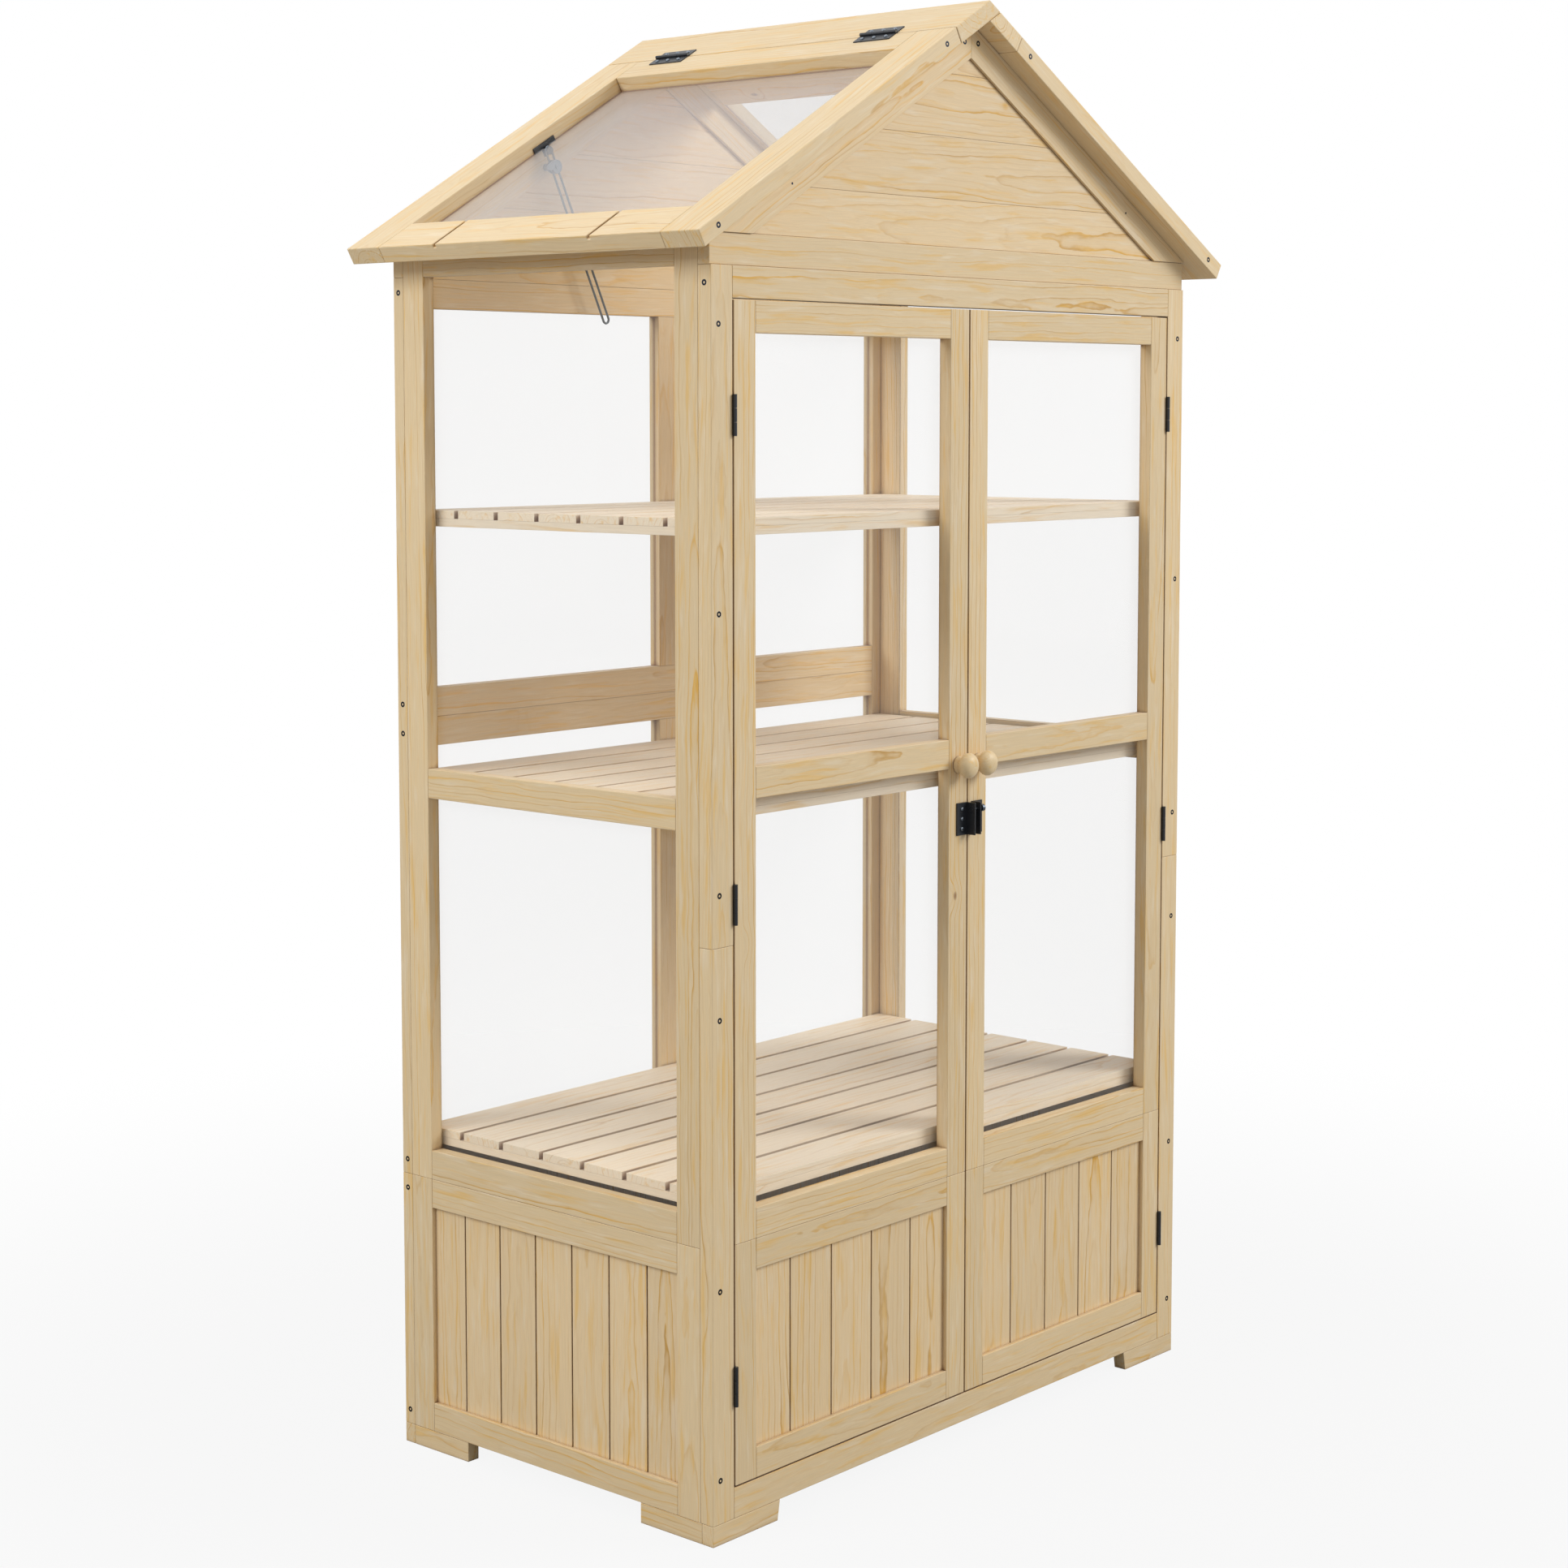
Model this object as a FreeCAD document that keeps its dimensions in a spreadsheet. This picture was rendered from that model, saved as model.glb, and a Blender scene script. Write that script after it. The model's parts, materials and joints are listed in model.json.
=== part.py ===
import FreeCAD, Part
import os
import re

import Sketcher

# A wooden mini greenhouse: a boarded and glazed cabinet with two doors, slatted shelves and a pitched
# roof whose left slope is a glazed sash held open by a wire stay. Millimetres; the origin is on the
# ground in the middle of the footprint, with +X to the right, -Y to the front and +Z up.

SIZES = {
    # cabinet
    "width": 800.0,
    "depth": 452.0,
    "wall_top": 1279.0,
    "section_joint": 296.0,
    "stock": 15.0,
    "rail": 31.0,
    "post_stock": 17.0,
    "post_face": 30.5,
    "post_joint": 593.0,
    "tie_recess": 2.0,
    "foot_height": 21.0,
    "foot_leg": 99.0,
    "foot_taper": 3.6,
    # infill
    "board_stock": 9.0,
    "board_recess": 5.0,
    "board_tongue": 7.5,
    "vee": 1.0,
    "side_boards": 7.0,
    "door_boards": 5.0,
    "back_boards": 12.0,
    "side_mid_rail": 704.0,
    "back_mid_joint": 785.0,
    "pane": 3.0,
    "pane_lap": 8.0,
    "pane_tongue": 6.0,
    # doors
    "door_side_gap": 2.0,
    "door_end_gap": 1.5,
    "door_meeting_gap": 2.0,
    "door_mid_rail": 733.5,
    "knob_rise": 3.5,
    "knob_inset": 15.4,
    "knob_stem": 9.0,
    "knob_radius": 13.5,
    "knob_half": 8.9,
    "knob_reach": 22.3,
    # hinges
    "pin": 0.8,
    "pin_clearance": 0.05,
    "knuckle": 2.0,
    "knuckle_gap": 0.3,
    "door_hinge": 40.0,
    "door_hinge_above_end": 81.0,
    "door_hinge_above_joint": 19.9,
    "door_hinge_below_end": 129.8,
    "door_leaf": 0.85,
    "door_leaf_reach": 12.0,
    "roof_hinge": 48.0,
    "roof_hinge_spread": 148.0,
    "roof_leaf": 1.2,
    "roof_leaf_reach": 15.0,
    "roof_hinge_screw_out": 9.0,
    "roof_hinge_screw_pitch": 16.0,
    # roof
    "pitch": 30.0,
    "eaves_rise": 1.3,
    "eaves": 42.5,
    "roof_stock": 18.7,
    "verge": 24.0,
    "ridge_cover": 65.0,
    "rafter_depth": 31.0,
    "gable_recess": 3.5,
    "gable_first_board": 49.0,
    "gable_board": 64.5,
    "sash_gap": 0.8,
    "sash_lift": 0.5,
    "roof_stile": 50.0,
    "roof_top_rail": 43.5,
    "roof_bottom_rail": 53.0,
    "roof_pane": 2.0,
    "roof_pane_depth": 16.2,
    "roof_pane_lap": 8.0,
    "drain_width": 4.0,
    "drain_depth": 4.0,
    "drain_rear": 116.0,
    "drain_front": 104.0,
    # sash stay
    "stay_along": 181.1,
    "stay_drop": 21.0,
    "stay_set_in": 4.0,
    "stay_lean": 4.3,
    "stay_length": 204.6,
    "stay_pitch": 8.4,
    "stay_wire": 1.25,
    "stay_pin_slack": 0.15,
    "clamp_from_pin": 19.0,
    "clamp_radius": 7.5,
    "clamp_stock": 3.5,
    "clamp_washer": 2.0,
    "clamp_bolt": 2.6,
    "clamp_clearance": 0.4,
    "clamp_wing_out": 11.9,
    "clamp_wing_up": 5.0,
    "clamp_wing": 3.0,
    "clamp_base": 4.0,
    "bracket_length": 35.0,
    "bracket_top": 11.0,
    "bracket_foot": 17.5,
    "bracket_lug": 11.0,
    "bracket_low": 26.0,
    "bracket_stock": 1.5,
    "bracket_clearance": 0.4,
    "rivet_head": 4.6,
    "rivet_head_stock": 1.2,
    # latch
    "latch_drop": 41.0,
    "latch_height": 34.5,
    "latch_leaf": 16.0,
    "latch_stock": 1.5,
    "latch_left_edge": 3.5,
    "latch_right_edge": 6.0,
    "latch_reach": 12.7,
    "bolt": 1.5,
    "bolt_drop": 7.0,
    "bolt_proud": 8.0,
    "bolt_entry": 0.4,
    "bolt_gap": 0.3,
    "bolt_travel": 4.5,
    "bolt_head": 4.0,
    "bolt_head_stock": 4.0,
    "small_screw": 2.3,
    "small_screw_head": 0.6,
    "small_screw_pitch": 10.5,
    # shelves
    "shelf_low": 347.0,
    "shelf_middle": 730.0,
    "shelf_high": 1006.0,
    "slats": 7.0,
    "slat": 54.0,
    "slat_stock": 8.5,
    "batten": 30.0,
    "batten_stock": 8.5,
    "shelf_end_gap": 0.5,
    "shelf_front_gap": 3.0,
    "shelf_back_gap": 1.0,
    "cleat_height": 20.0,
    "cleat_depth": 15.0,
    "cleat_stock": 13.0,
    "cleat_gap": 1.0,
    # screws
    "screw": 3.0,
    "screw_slack": 0.05,
    "screw_seat": 1.5,
    "screw_sink": 0.3,
    "screw_above_foot": 44.0,
    "screw_below_section": 42.0,
    "screw_below_joint": 71.0,
    "screw_above_joint": 51.0,
    "screw_below_head": 56.0,
    "screw_middle": 323.0,
    "screw_from_edge": 10.7,
    "rafter_screw_out": 11.3,
    "rafter_screw_drop": 20.0,
    "nail": 1.25,
    "nail_out": 283.0,
    "nail_drop": 18.0,
}

doc = FreeCAD.newDocument("mini_greenhouse")
sheet = doc.addObject("Spreadsheet::Sheet", "Sizes")
for row, (alias, number) in enumerate(SIZES.items(), start=1):
    sheet.set("A%d" % row, alias)
    sheet.set("B%d" % row, str(number))
    sheet.setAlias("B%d" % row, alias)
doc.recompute()

KNUCKLES = 3
NODES = []
WORD = re.compile(r"[A-Za-z_]\w*")
AXIS_TURNS = {"x": ((0, 1, 0), 90), "y": ((1, 0, 0), -90), "z": ((0, 0, 1), 0)}

# Places that several pieces share, as formulas of the sheet's sizes
HALF = "(width / 2)"
FRONT = "(-depth / 2)"
BACK = "(depth / 2)"
POST_BACK = f"({FRONT} + post_stock)"
WALL_BACK = f"({BACK} - stock)"
SIDE_INNER = f"({HALF} - stock)"
POST_INNER = f"({HALF} - post_face)"
BACK_POST_INNER = f"({HALF} - rail)"
HEADER_TOP = "(wall_top - rail)"
HEADER_LOW = "(wall_top - 2 * rail)"
SILL_TOP = "(foot_height + rail)"
DOOR_LOW = f"({SILL_TOP} + door_end_gap)"
DOOR_TOP = f"({HEADER_LOW} - door_end_gap)"
DOOR_OUTER = f"({POST_INNER} - door_side_gap)"
DOOR_INNER = "(door_meeting_gap / 2)"
DOOR_BACK = f"({FRONT} + stock)"
DOOR_HINGES = {
    "low": f"({DOOR_LOW} + door_hinge_above_end)",
    "middle": "(post_joint + door_hinge_above_joint)",
    "top": f"({DOOR_TOP} - door_hinge_below_end)",
}
KNOB_Z = "(door_mid_rail + knob_rise)"
LATCH_TOP = f"({KNOB_Z} - latch_drop)"
LATCH_LOW = f"({LATCH_TOP} - latch_height)"
ROOF_UNDER = f"(wall_top + eaves_rise + {HALF} * tan(pitch))"
RIDGE = f"({ROOF_UNDER} + roof_stock / cos(pitch))"
RAFTER_UNDER = f"({ROOF_UNDER} - rafter_depth / cos(pitch))"
DOOR_PIN_X = f"({POST_INNER} - door_side_gap / 2)"
DOOR_PIN_Y = f"({FRONT} - knuckle - knuckle_gap)"
ROOF_PIN = "(knuckle + knuckle_gap)"
ROOF_HALF = "(depth / 2 + verge)"
SLOPE = f"(({HALF} + eaves) / cos(pitch))"
ROOF_SEAM = "(ridge_cover + sash_gap / 2)"
STAY_ALONG = f"({ROOF_SEAM} + stay_along - sash_gap / 2)"
STAY_Y = f"({ROOF_HALF} - roof_stile - stay_set_in)"
LOOP_TOP = "(stay_pitch / 2 + stay_wire)"
RIVET_START = f"(-{STAY_Y} + stay_wire + stay_pin_slack)"
RIVET_END = f"({RIVET_START} + rivet_head_stock)"
CLAMP_ALONG = f"({STAY_ALONG} + clamp_from_pin * sin(stay_lean))"
CLAMP_DROP = "(stay_drop + clamp_from_pin * cos(stay_lean))"


def formula(text):
    """The text with each name of a size turned into its cell in the sheet."""
    return WORD.sub(lambda word: "Sizes." * (word.group() in SIZES) + word.group(), str(text))


def number(text):
    """The present value of a formula."""
    return float(sheet.evalExpression(formula(text)))


def box(name, low, high):
    """A block between two corners, each given as three formulas."""
    block = doc.addObject("Part::Box", name)
    for axis, size, start, end in zip("xyz", ("Length", "Width", "Height"), low, high):
        block.setExpression(size, formula(f"({end}) - ({start})"))
        block.setExpression(f"Placement.Base.{axis}", formula(start))
    return block


def rod(name, axis, start, end, radius):
    """A round bar from a start point along one axis as far as an end coordinate."""
    bar = doc.addObject("Part::Cylinder", name)
    direction, angle = AXIS_TURNS[axis]
    bar.Placement = FreeCAD.Placement(FreeCAD.Vector(), FreeCAD.Rotation(FreeCAD.Vector(*direction), angle))
    for letter, value in zip("xyz", start):
        bar.setExpression(f"Placement.Base.{letter}", formula(value))
    bar.setExpression("Height", formula(f"({end}) - ({start['xyz'.index(axis)]})"))
    bar.setExpression("Radius", formula(radius))
    return bar


def outline(sketch, corners):
    """Draws a closed outline whose corners are pairs of formulas measured from the sketch's origin."""
    spots = [tuple(number(value) for value in corner) for corner in corners]
    ends = spots[1:] + spots[:1]
    for first, second in zip(spots, ends):
        sketch.addGeometry(Part.LineSegment(FreeCAD.Vector(*first, 0), FreeCAD.Vector(*second, 0)))
    for line in range(len(spots)):
        sketch.addConstraint(Sketcher.Constraint("Coincident", line, 2, (line + 1) % len(spots), 1))
    for line, corner in enumerate(corners):
        for kind, place, value in zip(("DistanceX", "DistanceY"), spots[line], corner):
            index = sketch.addConstraint(Sketcher.Constraint(kind, -1, 1, line, 1, place))
            sketch.setExpression(f"Constraints[{index}]", formula(value))


def prism(name, plane, corners, start, end):
    """A block with a drawn outline in the xy or xz plane, pushed square to it from start to end."""
    sketch = doc.addObject("Sketcher::SketchObject", name + "_outline")
    outline(sketch, corners)
    if plane == "xz":
        sketch.Placement = FreeCAD.Placement(FreeCAD.Vector(), FreeCAD.Rotation(FreeCAD.Vector(1, 0, 0), 90))
        sketch.setExpression("Placement.Base.y", formula(end))
    else:
        sketch.setExpression("Placement.Base.z", formula(start))
    block = doc.addObject("Part::Extrusion", name)
    block.Base = sketch
    block.DirMode = "Normal"
    block.Solid = True
    block.setExpression("LengthFwd", formula(f"({end}) - ({start})"))
    return block


def group(name, pieces):
    """Separate pieces that are handled together."""
    compound = doc.addObject("Part::Compound", name)
    compound.Links = pieces
    return compound


def cut(name, base, tools):
    """A piece with other shapes taken out of it."""
    result = doc.addObject("Part::Cut", name)
    result.Base = base
    result.Tool = group(name + "_tools", tools)
    return result


def fuse(name, pieces):
    """Shapes joined into one solid."""
    result = doc.addObject("Part::MultiFuse", name)
    result.Shapes = pieces
    return result


def node(name, shape):
    """Names a finished sub-part and keeps it for the check and the files."""
    shape.Label = name
    NODES.append(shape)
    return shape


def on_slope(name, pieces, side):
    """Groups pieces drawn with X down a slope and Z out of it, and lays them on that side of the roof."""
    placed = group(name, pieces)
    turn = {
        "right": "rotation(vector(0; 1; 0); pitch)",
        "left": "rotation(vector(0 - sin(pitch / 2); 0; cos(pitch / 2)); 180)",
    }[side]
    placed.setExpression("Placement", formula(f"placement(vector(0; 0; {RIDGE}); {turn})"))
    return placed


def mirrored(side, near, far):
    """The lower and higher X of a piece that lies between two distances from the middle."""
    return (near, far) if side == "right" else (f"-({far})", f"-({near})")


def frame(name, run, levels, thick, along):
    """Two stiles the full height with rails between them; levels lists each rail's lower and upper edge."""
    low, high = run
    bottom, top = levels[0][0], levels[-1][1]
    spans = [(low, f"({low}) + rail", bottom, top), (f"({high}) - rail", high, bottom, top)]
    spans += [(f"({low}) + rail", f"({high}) - rail", lower, upper) for lower, upper in levels]
    return [slab(f"{name}_{count}", along, span, thick) for count, span in enumerate(spans)]


def slab(name, along, span, thick):
    """A board standing in a wall that runs along x or y: span is start, end, bottom, top."""
    start, end, bottom, top = span
    if along == "x":
        return box(name, (start, thick[0], bottom), (end, thick[1], top))
    return box(name, (thick[0], start, bottom), (thick[1], end, top))


def boards(name, along, count, span, faces):
    """Upright matched boards side by side; faces are the shown face and the hidden one."""
    start, end, bottom, top = span
    shown, hidden = faces
    eased = f"({shown}) + (({hidden}) - ({shown})) * vee / board_stock"
    width = f"(({end}) - ({start})) / {count}"
    pieces = []
    for board in range(count):
        left = f"({start}) + {board} * {width}"
        right = f"({start}) + {board + 1} * {width}"
        corners = [
            (left, eased),
            (f"{left} + vee", shown),
            (f"{right} - vee", shown),
            (right, eased),
            (right, hidden),
            (left, hidden),
        ]
        if along == "y":
            corners = [(thick, place) for place, thick in corners]
        pieces.append(prism(f"{name}_{board}", "xy", corners, bottom, top))
    return pieces


def screws(name, axis, spots, faces, radius="screw"):
    """Sunk heads and the seats cut for them, along one axis, between the seat's bottom and the face."""
    heads = []
    seats = []
    for count, spot in enumerate(spots):
        face, inward = faces
        low, high = (face, f"({face}) + screw_seat") if inward == "+" else (f"({face}) - screw_seat", face)
        head_low, head_high = low, high
        if inward == "+":
            head_low = f"({low}) + screw_sink"
        else:
            head_high = f"({high}) - screw_sink"
        place = list(spot)
        place["xyz".index(axis)] = head_low
        heads.append(rod(f"{name}_head_{count}", axis, tuple(place), head_high, radius))
        place["xyz".index(axis)] = low
        seats.append(rod(f"{name}_seat_{count}", axis, tuple(place), high, f"{radius} + screw_slack"))
    return heads, seats


def feet(name, side_y):
    """The two corner feet at the front or the back, each of two boards set in an L."""
    near, inner = (FRONT, f"{FRONT} + stock") if side_y == "front" else (BACK, f"{BACK} - stock")
    long_low, long_high = (near, inner) if side_y == "front" else (inner, near)
    end = f"{FRONT} + foot_leg" if side_y == "front" else f"{BACK} - foot_leg"
    leg_low, leg_high = (inner, end) if side_y == "front" else (end, inner)
    pieces = []
    for sign, side in (("-", "left"), ("", "right")):
        corners = [
            (f"{sign}{HALF}", "0"),
            (f"{sign}({HALF} - foot_leg + foot_taper)", "0"),
            (f"{sign}({HALF} - foot_leg)", "foot_height"),
            (f"{sign}{HALF}", "foot_height"),
        ]
        pieces.append(prism(f"{name}_{side}_long", "xz", corners, long_low, long_high))
        low, high = mirrored(side, SIDE_INNER, HALF)
        pieces.append(box(f"{name}_{side}_short", (low, leg_low, "0"), (high, leg_high, "foot_height")))
    node(name, group(name, pieces))


def front_wall():
    """Front posts, sill, header and tie beam; gives the heads of the screws in the posts."""
    heads = []
    levels = [
        "foot_height + screw_above_foot",
        "section_joint - screw_below_section",
        "post_joint - screw_below_joint",
        "post_joint + screw_above_joint",
        "post_joint + screw_middle",
        f"{HEADER_TOP} - screw_below_head",
    ]
    for side, sign in (("left", "-"), ("right", "")):
        low, high = mirrored(side, POST_INNER, HALF)
        name = f"front_post_{side}"
        lengths = [
            box(f"{name}_lower", (low, FRONT, "foot_height"), (high, POST_BACK, "post_joint")),
            box(f"{name}_upper", (low, FRONT, "post_joint"), (high, POST_BACK, HEADER_TOP)),
        ]
        spots = [(f"{sign}({HALF} - screw_from_edge)", FRONT, level) for level in levels]
        front_heads, front_seats = screws(name + "_screw", "y", spots, (FRONT, "+"))
        spot = [(HALF, f"{FRONT} + post_stock / 2", f"{HEADER_TOP} - post_stock")]
        face = (f"-{HALF}", "+") if side == "left" else (HALF, "-")
        side_heads, side_seats = screws(name + "_side_screw", "x", spot, face)
        heads += front_heads + side_heads
        node(name, cut(name, group(name + "_lengths", lengths), front_seats + side_seats))
    span = (f"-{POST_INNER}", POST_INNER)
    node("front_sill", box("front_sill", (span[0], FRONT, "foot_height"), (span[1], DOOR_BACK, SILL_TOP)))
    node("front_header", box("front_header", (span[0], FRONT, HEADER_LOW), (span[1], DOOR_BACK, HEADER_TOP)))
    tie_low = (f"-{HALF}", f"{FRONT} + tie_recess", HEADER_TOP)
    node("front_tie_beam", box("front_tie_beam", tie_low, (HALF, POST_BACK, "wall_top")))
    return heads


def back_wall():
    """Back posts, rails, mullions, boards, panes and tie beam; gives the heads of the screws."""
    heads = []
    inner = BACK_POST_INNER
    mid_low = "back_mid_joint - rail"
    mid_high = "back_mid_joint + rail"
    levels = [
        ("foot_height", SILL_TOP),
        ("section_joint - rail", "section_joint"),
        ("section_joint", "section_joint + rail"),
        (mid_low, "back_mid_joint"),
        ("back_mid_joint", mid_high),
        (HEADER_LOW, HEADER_TOP),
    ]
    thick = (WALL_BACK, BACK)
    rails = [
        slab(f"back_rail_{count}", "x", (f"-{inner}", inner) + level, thick)
        for count, level in enumerate(levels)
    ]
    openings = [("section_joint + rail", mid_low), (mid_high, HEADER_LOW)]
    mullions = [
        slab(f"back_mullion_{count}", "x", ("-rail / 2", "rail / 2") + opening, thick)
        for count, opening in enumerate(openings)
    ]
    pane_thick = (f"{BACK} - stock / 2 - pane / 2", f"{BACK} - stock / 2 + pane / 2")
    panes = []
    for row, (bottom, top) in enumerate(openings):
        for side in ("left", "right"):
            low, high = mirrored(side, "rail / 2 - pane_tongue", f"{inner} + pane_tongue")
            span = (low, high, f"{bottom} - pane_tongue", f"{top} + pane_tongue")
            panes.append(slab(f"back_pane_{side}_{row}", "x", span, pane_thick))
    shown = f"{BACK} - board_recess"
    hidden = f"{BACK} - board_recess - board_stock"
    field = (
        f"-{inner} - board_tongue",
        f"{inner} + board_tongue",
        f"{SILL_TOP} - board_tongue",
        "section_joint - rail + board_tongue",
    )
    groove = slab("back_board_groove", "x", field, (hidden, shown))
    screw_levels = [level[0] + " + rail / 2" for level in levels]
    for side in ("left", "right"):
        low, high = mirrored(side, BACK_POST_INNER, HALF)
        name = f"back_post_{side}"
        lengths = [
            box(f"{name}_lower", (low, WALL_BACK, "foot_height"), (high, BACK, "section_joint")),
            box(f"{name}_upper", (low, WALL_BACK, "section_joint"), (high, BACK, HEADER_TOP)),
        ]
        spots = [(HALF, f"{BACK} - stock / 2", level) for level in screw_levels]
        face = (f"-{HALF}", "+") if side == "left" else (HALF, "-")
        side_heads, seats = screws(name + "_screw", "x", spots, face)
        heads += side_heads
        node(name, cut(name, group(name + "_lengths", lengths), seats + panes + [groove]))
    node("back_frame", cut("back_frame", group("back_bars", rails + mullions), panes + [groove]))
    pieces = boards("back_board", "x", int(SIZES["back_boards"]), field, (shown, hidden))
    node("back_boards", group("back_boards", pieces))
    node("back_panes", group("back_panes", panes))
    node("back_tie_beam", box("back_tie_beam", (f"-{HALF}", WALL_BACK, HEADER_TOP), (HALF, BACK, "wall_top")))
    node("back_screws", group("back_screws", heads))


def side_wall(side):
    """A glazed frame above a boarded frame, with their boards and panes."""
    name = f"side_{side}"
    run = (POST_BACK, WALL_BACK)
    thick = mirrored(side, SIDE_INNER, HALF)
    lower = [("foot_height", SILL_TOP), ("section_joint - rail", "section_joint")]
    upper = [
        ("section_joint", "section_joint + rail"),
        ("side_mid_rail", "side_mid_rail + rail"),
        (HEADER_TOP, "wall_top"),
    ]
    bars = frame(name + "_lower", run, lower, thick, "y") + frame(name + "_upper", run, upper, thick, "y")
    sign = "" if side == "right" else "-"
    shown = f"{sign}({HALF} - board_recess)"
    hidden = f"{sign}({HALF} - board_recess - board_stock)"
    field = (
        f"{run[0]} + rail - board_tongue",
        f"{run[1]} - rail + board_tongue",
        f"{SILL_TOP} - board_tongue",
        "section_joint - rail + board_tongue",
    )
    groove_faces = mirrored(side, f"{HALF} - board_recess - board_stock", f"{HALF} - board_recess")
    groove = slab(name + "_groove", "y", field, groove_faces)
    node(name + "_frame", cut(name + "_frame", group(name + "_bars", bars), [groove]))
    pieces = boards(name + "_board", "y", int(SIZES["side_boards"]), field, (shown, hidden))
    node(name + "_boards", group(name + "_boards", pieces))
    glass = mirrored(side, f"{SIDE_INNER} - pane", SIDE_INNER)
    panes = []
    for count, ((_, bottom), (top, _)) in enumerate(zip(upper, upper[1:])):
        span = (
            f"{run[0]} + rail - pane_lap",
            f"{run[1]} - rail + pane_lap",
            f"{bottom} - pane_lap",
            f"{top} + pane_lap",
        )
        panes.append(slab(f"{name}_pane_{count}", "y", span, glass))
    node(name + "_panes", group(name + "_panes", panes))


def door(side):
    """One door: a boarded frame below a glazed frame, with boards, panes and a turned knob."""
    name = f"door_{side}"
    run = mirrored(side, DOOR_INNER, DOOR_OUTER)
    thick = (FRONT, DOOR_BACK)
    lower = [(DOOR_LOW, f"{DOOR_LOW} + rail"), ("section_joint - rail", "section_joint")]
    upper = [
        ("section_joint", "section_joint + rail"),
        ("door_mid_rail", "door_mid_rail + rail"),
        (f"{DOOR_TOP} - rail", DOOR_TOP),
    ]
    bars = frame(name + "_lower", run, lower, thick, "x") + frame(name + "_upper", run, upper, thick, "x")
    shown = f"{FRONT} + board_recess"
    hidden = f"{FRONT} + board_recess + board_stock"
    field = (
        f"{run[0]} + rail - board_tongue",
        f"{run[1]} - rail + board_tongue",
        f"{DOOR_LOW} + rail - board_tongue",
        "section_joint - rail + board_tongue",
    )
    groove = slab(name + "_groove", "x", field, (shown, hidden))
    node(name + "_frame", cut(name + "_frame", group(name + "_bars", bars), [groove]))
    pieces = boards(name + "_board", "x", int(SIZES["door_boards"]), field, (shown, hidden))
    node(name + "_boards", group(name + "_boards", pieces))
    panes = []
    for count, ((_, bottom), (top, _)) in enumerate(zip(upper, upper[1:])):
        span = (
            f"{run[0]} + rail - pane_lap",
            f"{run[1]} - rail + pane_lap",
            f"{bottom} - pane_lap",
            f"{top} + pane_lap",
        )
        panes.append(slab(f"{name}_pane_{count}", "x", span, (DOOR_BACK, f"{DOOR_BACK} + pane")))
    node(name + "_panes", group(name + "_panes", panes))
    knob(side)


def knob(side):
    """A turned wooden knob: a short stem under a flattened round head, pointing forward."""
    name = f"knob_{side}"
    sign = "" if side == "right" else "-"
    centre_x = f"{sign}({DOOR_INNER} + knob_inset)"
    middle = f"{FRONT} - knob_reach + knob_half"
    stem = rod(name + "_stem", "y", (centre_x, middle, KNOB_Z), FRONT, "knob_stem")
    head = doc.addObject("Part::Ellipsoid", name + "_head")
    turn = FreeCAD.Rotation(FreeCAD.Vector(1, 0, 0), 90)
    head.Placement = FreeCAD.Placement(FreeCAD.Vector(), turn)
    for letter, value in zip("xyz", (centre_x, middle, KNOB_Z)):
        head.setExpression(f"Placement.Base.{letter}", formula(value))
    head.setExpression("Radius1", formula("knob_half"))
    head.setExpression("Radius2", formula("knob_radius"))
    head.setExpression("Radius3", formula("knob_radius"))
    node(name, fuse(name, [stem, head]))


def gable(end):
    """Two rafters meeting under the ridge and the horizontal boards below them; gives screw heads."""
    out = (FRONT, POST_BACK) if end == "front" else (f"{BACK} - post_stock", BACK)
    rise = f"({RAFTER_UNDER} - wall_top)"
    rafters = []
    for side, sign in (("left", "-"), ("right", "")):
        corners = [
            ("0", RAFTER_UNDER),
            (f"{sign}{rise} / tan(pitch)", "wall_top"),
            (f"{sign}{HALF}", "wall_top"),
            (f"{sign}{HALF}", "wall_top + eaves_rise"),
            ("0", ROOF_UNDER),
        ]
        rafters.append(prism(f"{end}_rafter_{side}", "xz", corners, *out))
    screw_z = f"{ROOF_UNDER} - rafter_screw_drop"
    nail_z = f"{ROOF_UNDER} - nail_out * tan(pitch) - nail_drop"
    face = (FRONT, "+") if end == "front" else (BACK, "-")
    spots = [("-rafter_screw_out", "0", screw_z), ("rafter_screw_out", "0", screw_z)]
    heads, seats = screws(f"{end}_rafter_screw", "y", spots, face)
    nail_spots = [("-nail_out", "0", nail_z), ("nail_out", "0", nail_z)]
    nails, holes = screws(f"{end}_rafter_nail", "y", nail_spots, face, "nail")
    node(f"{end}_rafters", cut(f"{end}_rafters", group(f"{end}_rafter_pair", rafters), seats + holes))
    shown, hidden = ("gable_recess", "gable_recess + board_stock")
    if end == "front":
        thick = (f"{FRONT} + {shown}", f"{FRONT} + {hidden}")
    else:
        thick = (f"{BACK} - ({hidden})", f"{BACK} - {shown}")
    edges = ["wall_top"]
    edge = "wall_top + gable_first_board"
    while number(edge) < number(RAFTER_UNDER):
        edges.append(edge)
        edge += " + gable_board"
    pieces = []
    for count, low in enumerate(edges):
        half_low = f"({RAFTER_UNDER} - ({low})) / tan(pitch)"
        corners = [(f"-{half_low}", low), (half_low, low)]
        if count + 1 < len(edges):
            high = edges[count + 1]
            half_high = f"({RAFTER_UNDER} - ({high})) / tan(pitch)"
            corners += [(half_high, high), (f"-{half_high}", high)]
        else:
            corners.append(("0", RAFTER_UNDER))
        pieces.append(prism(f"{end}_gable_board_{count}", "xz", corners, *thick))
    node(f"{end}_gable_boards", group(f"{end}_gable_boards", pieces))
    return heads + nails


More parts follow.
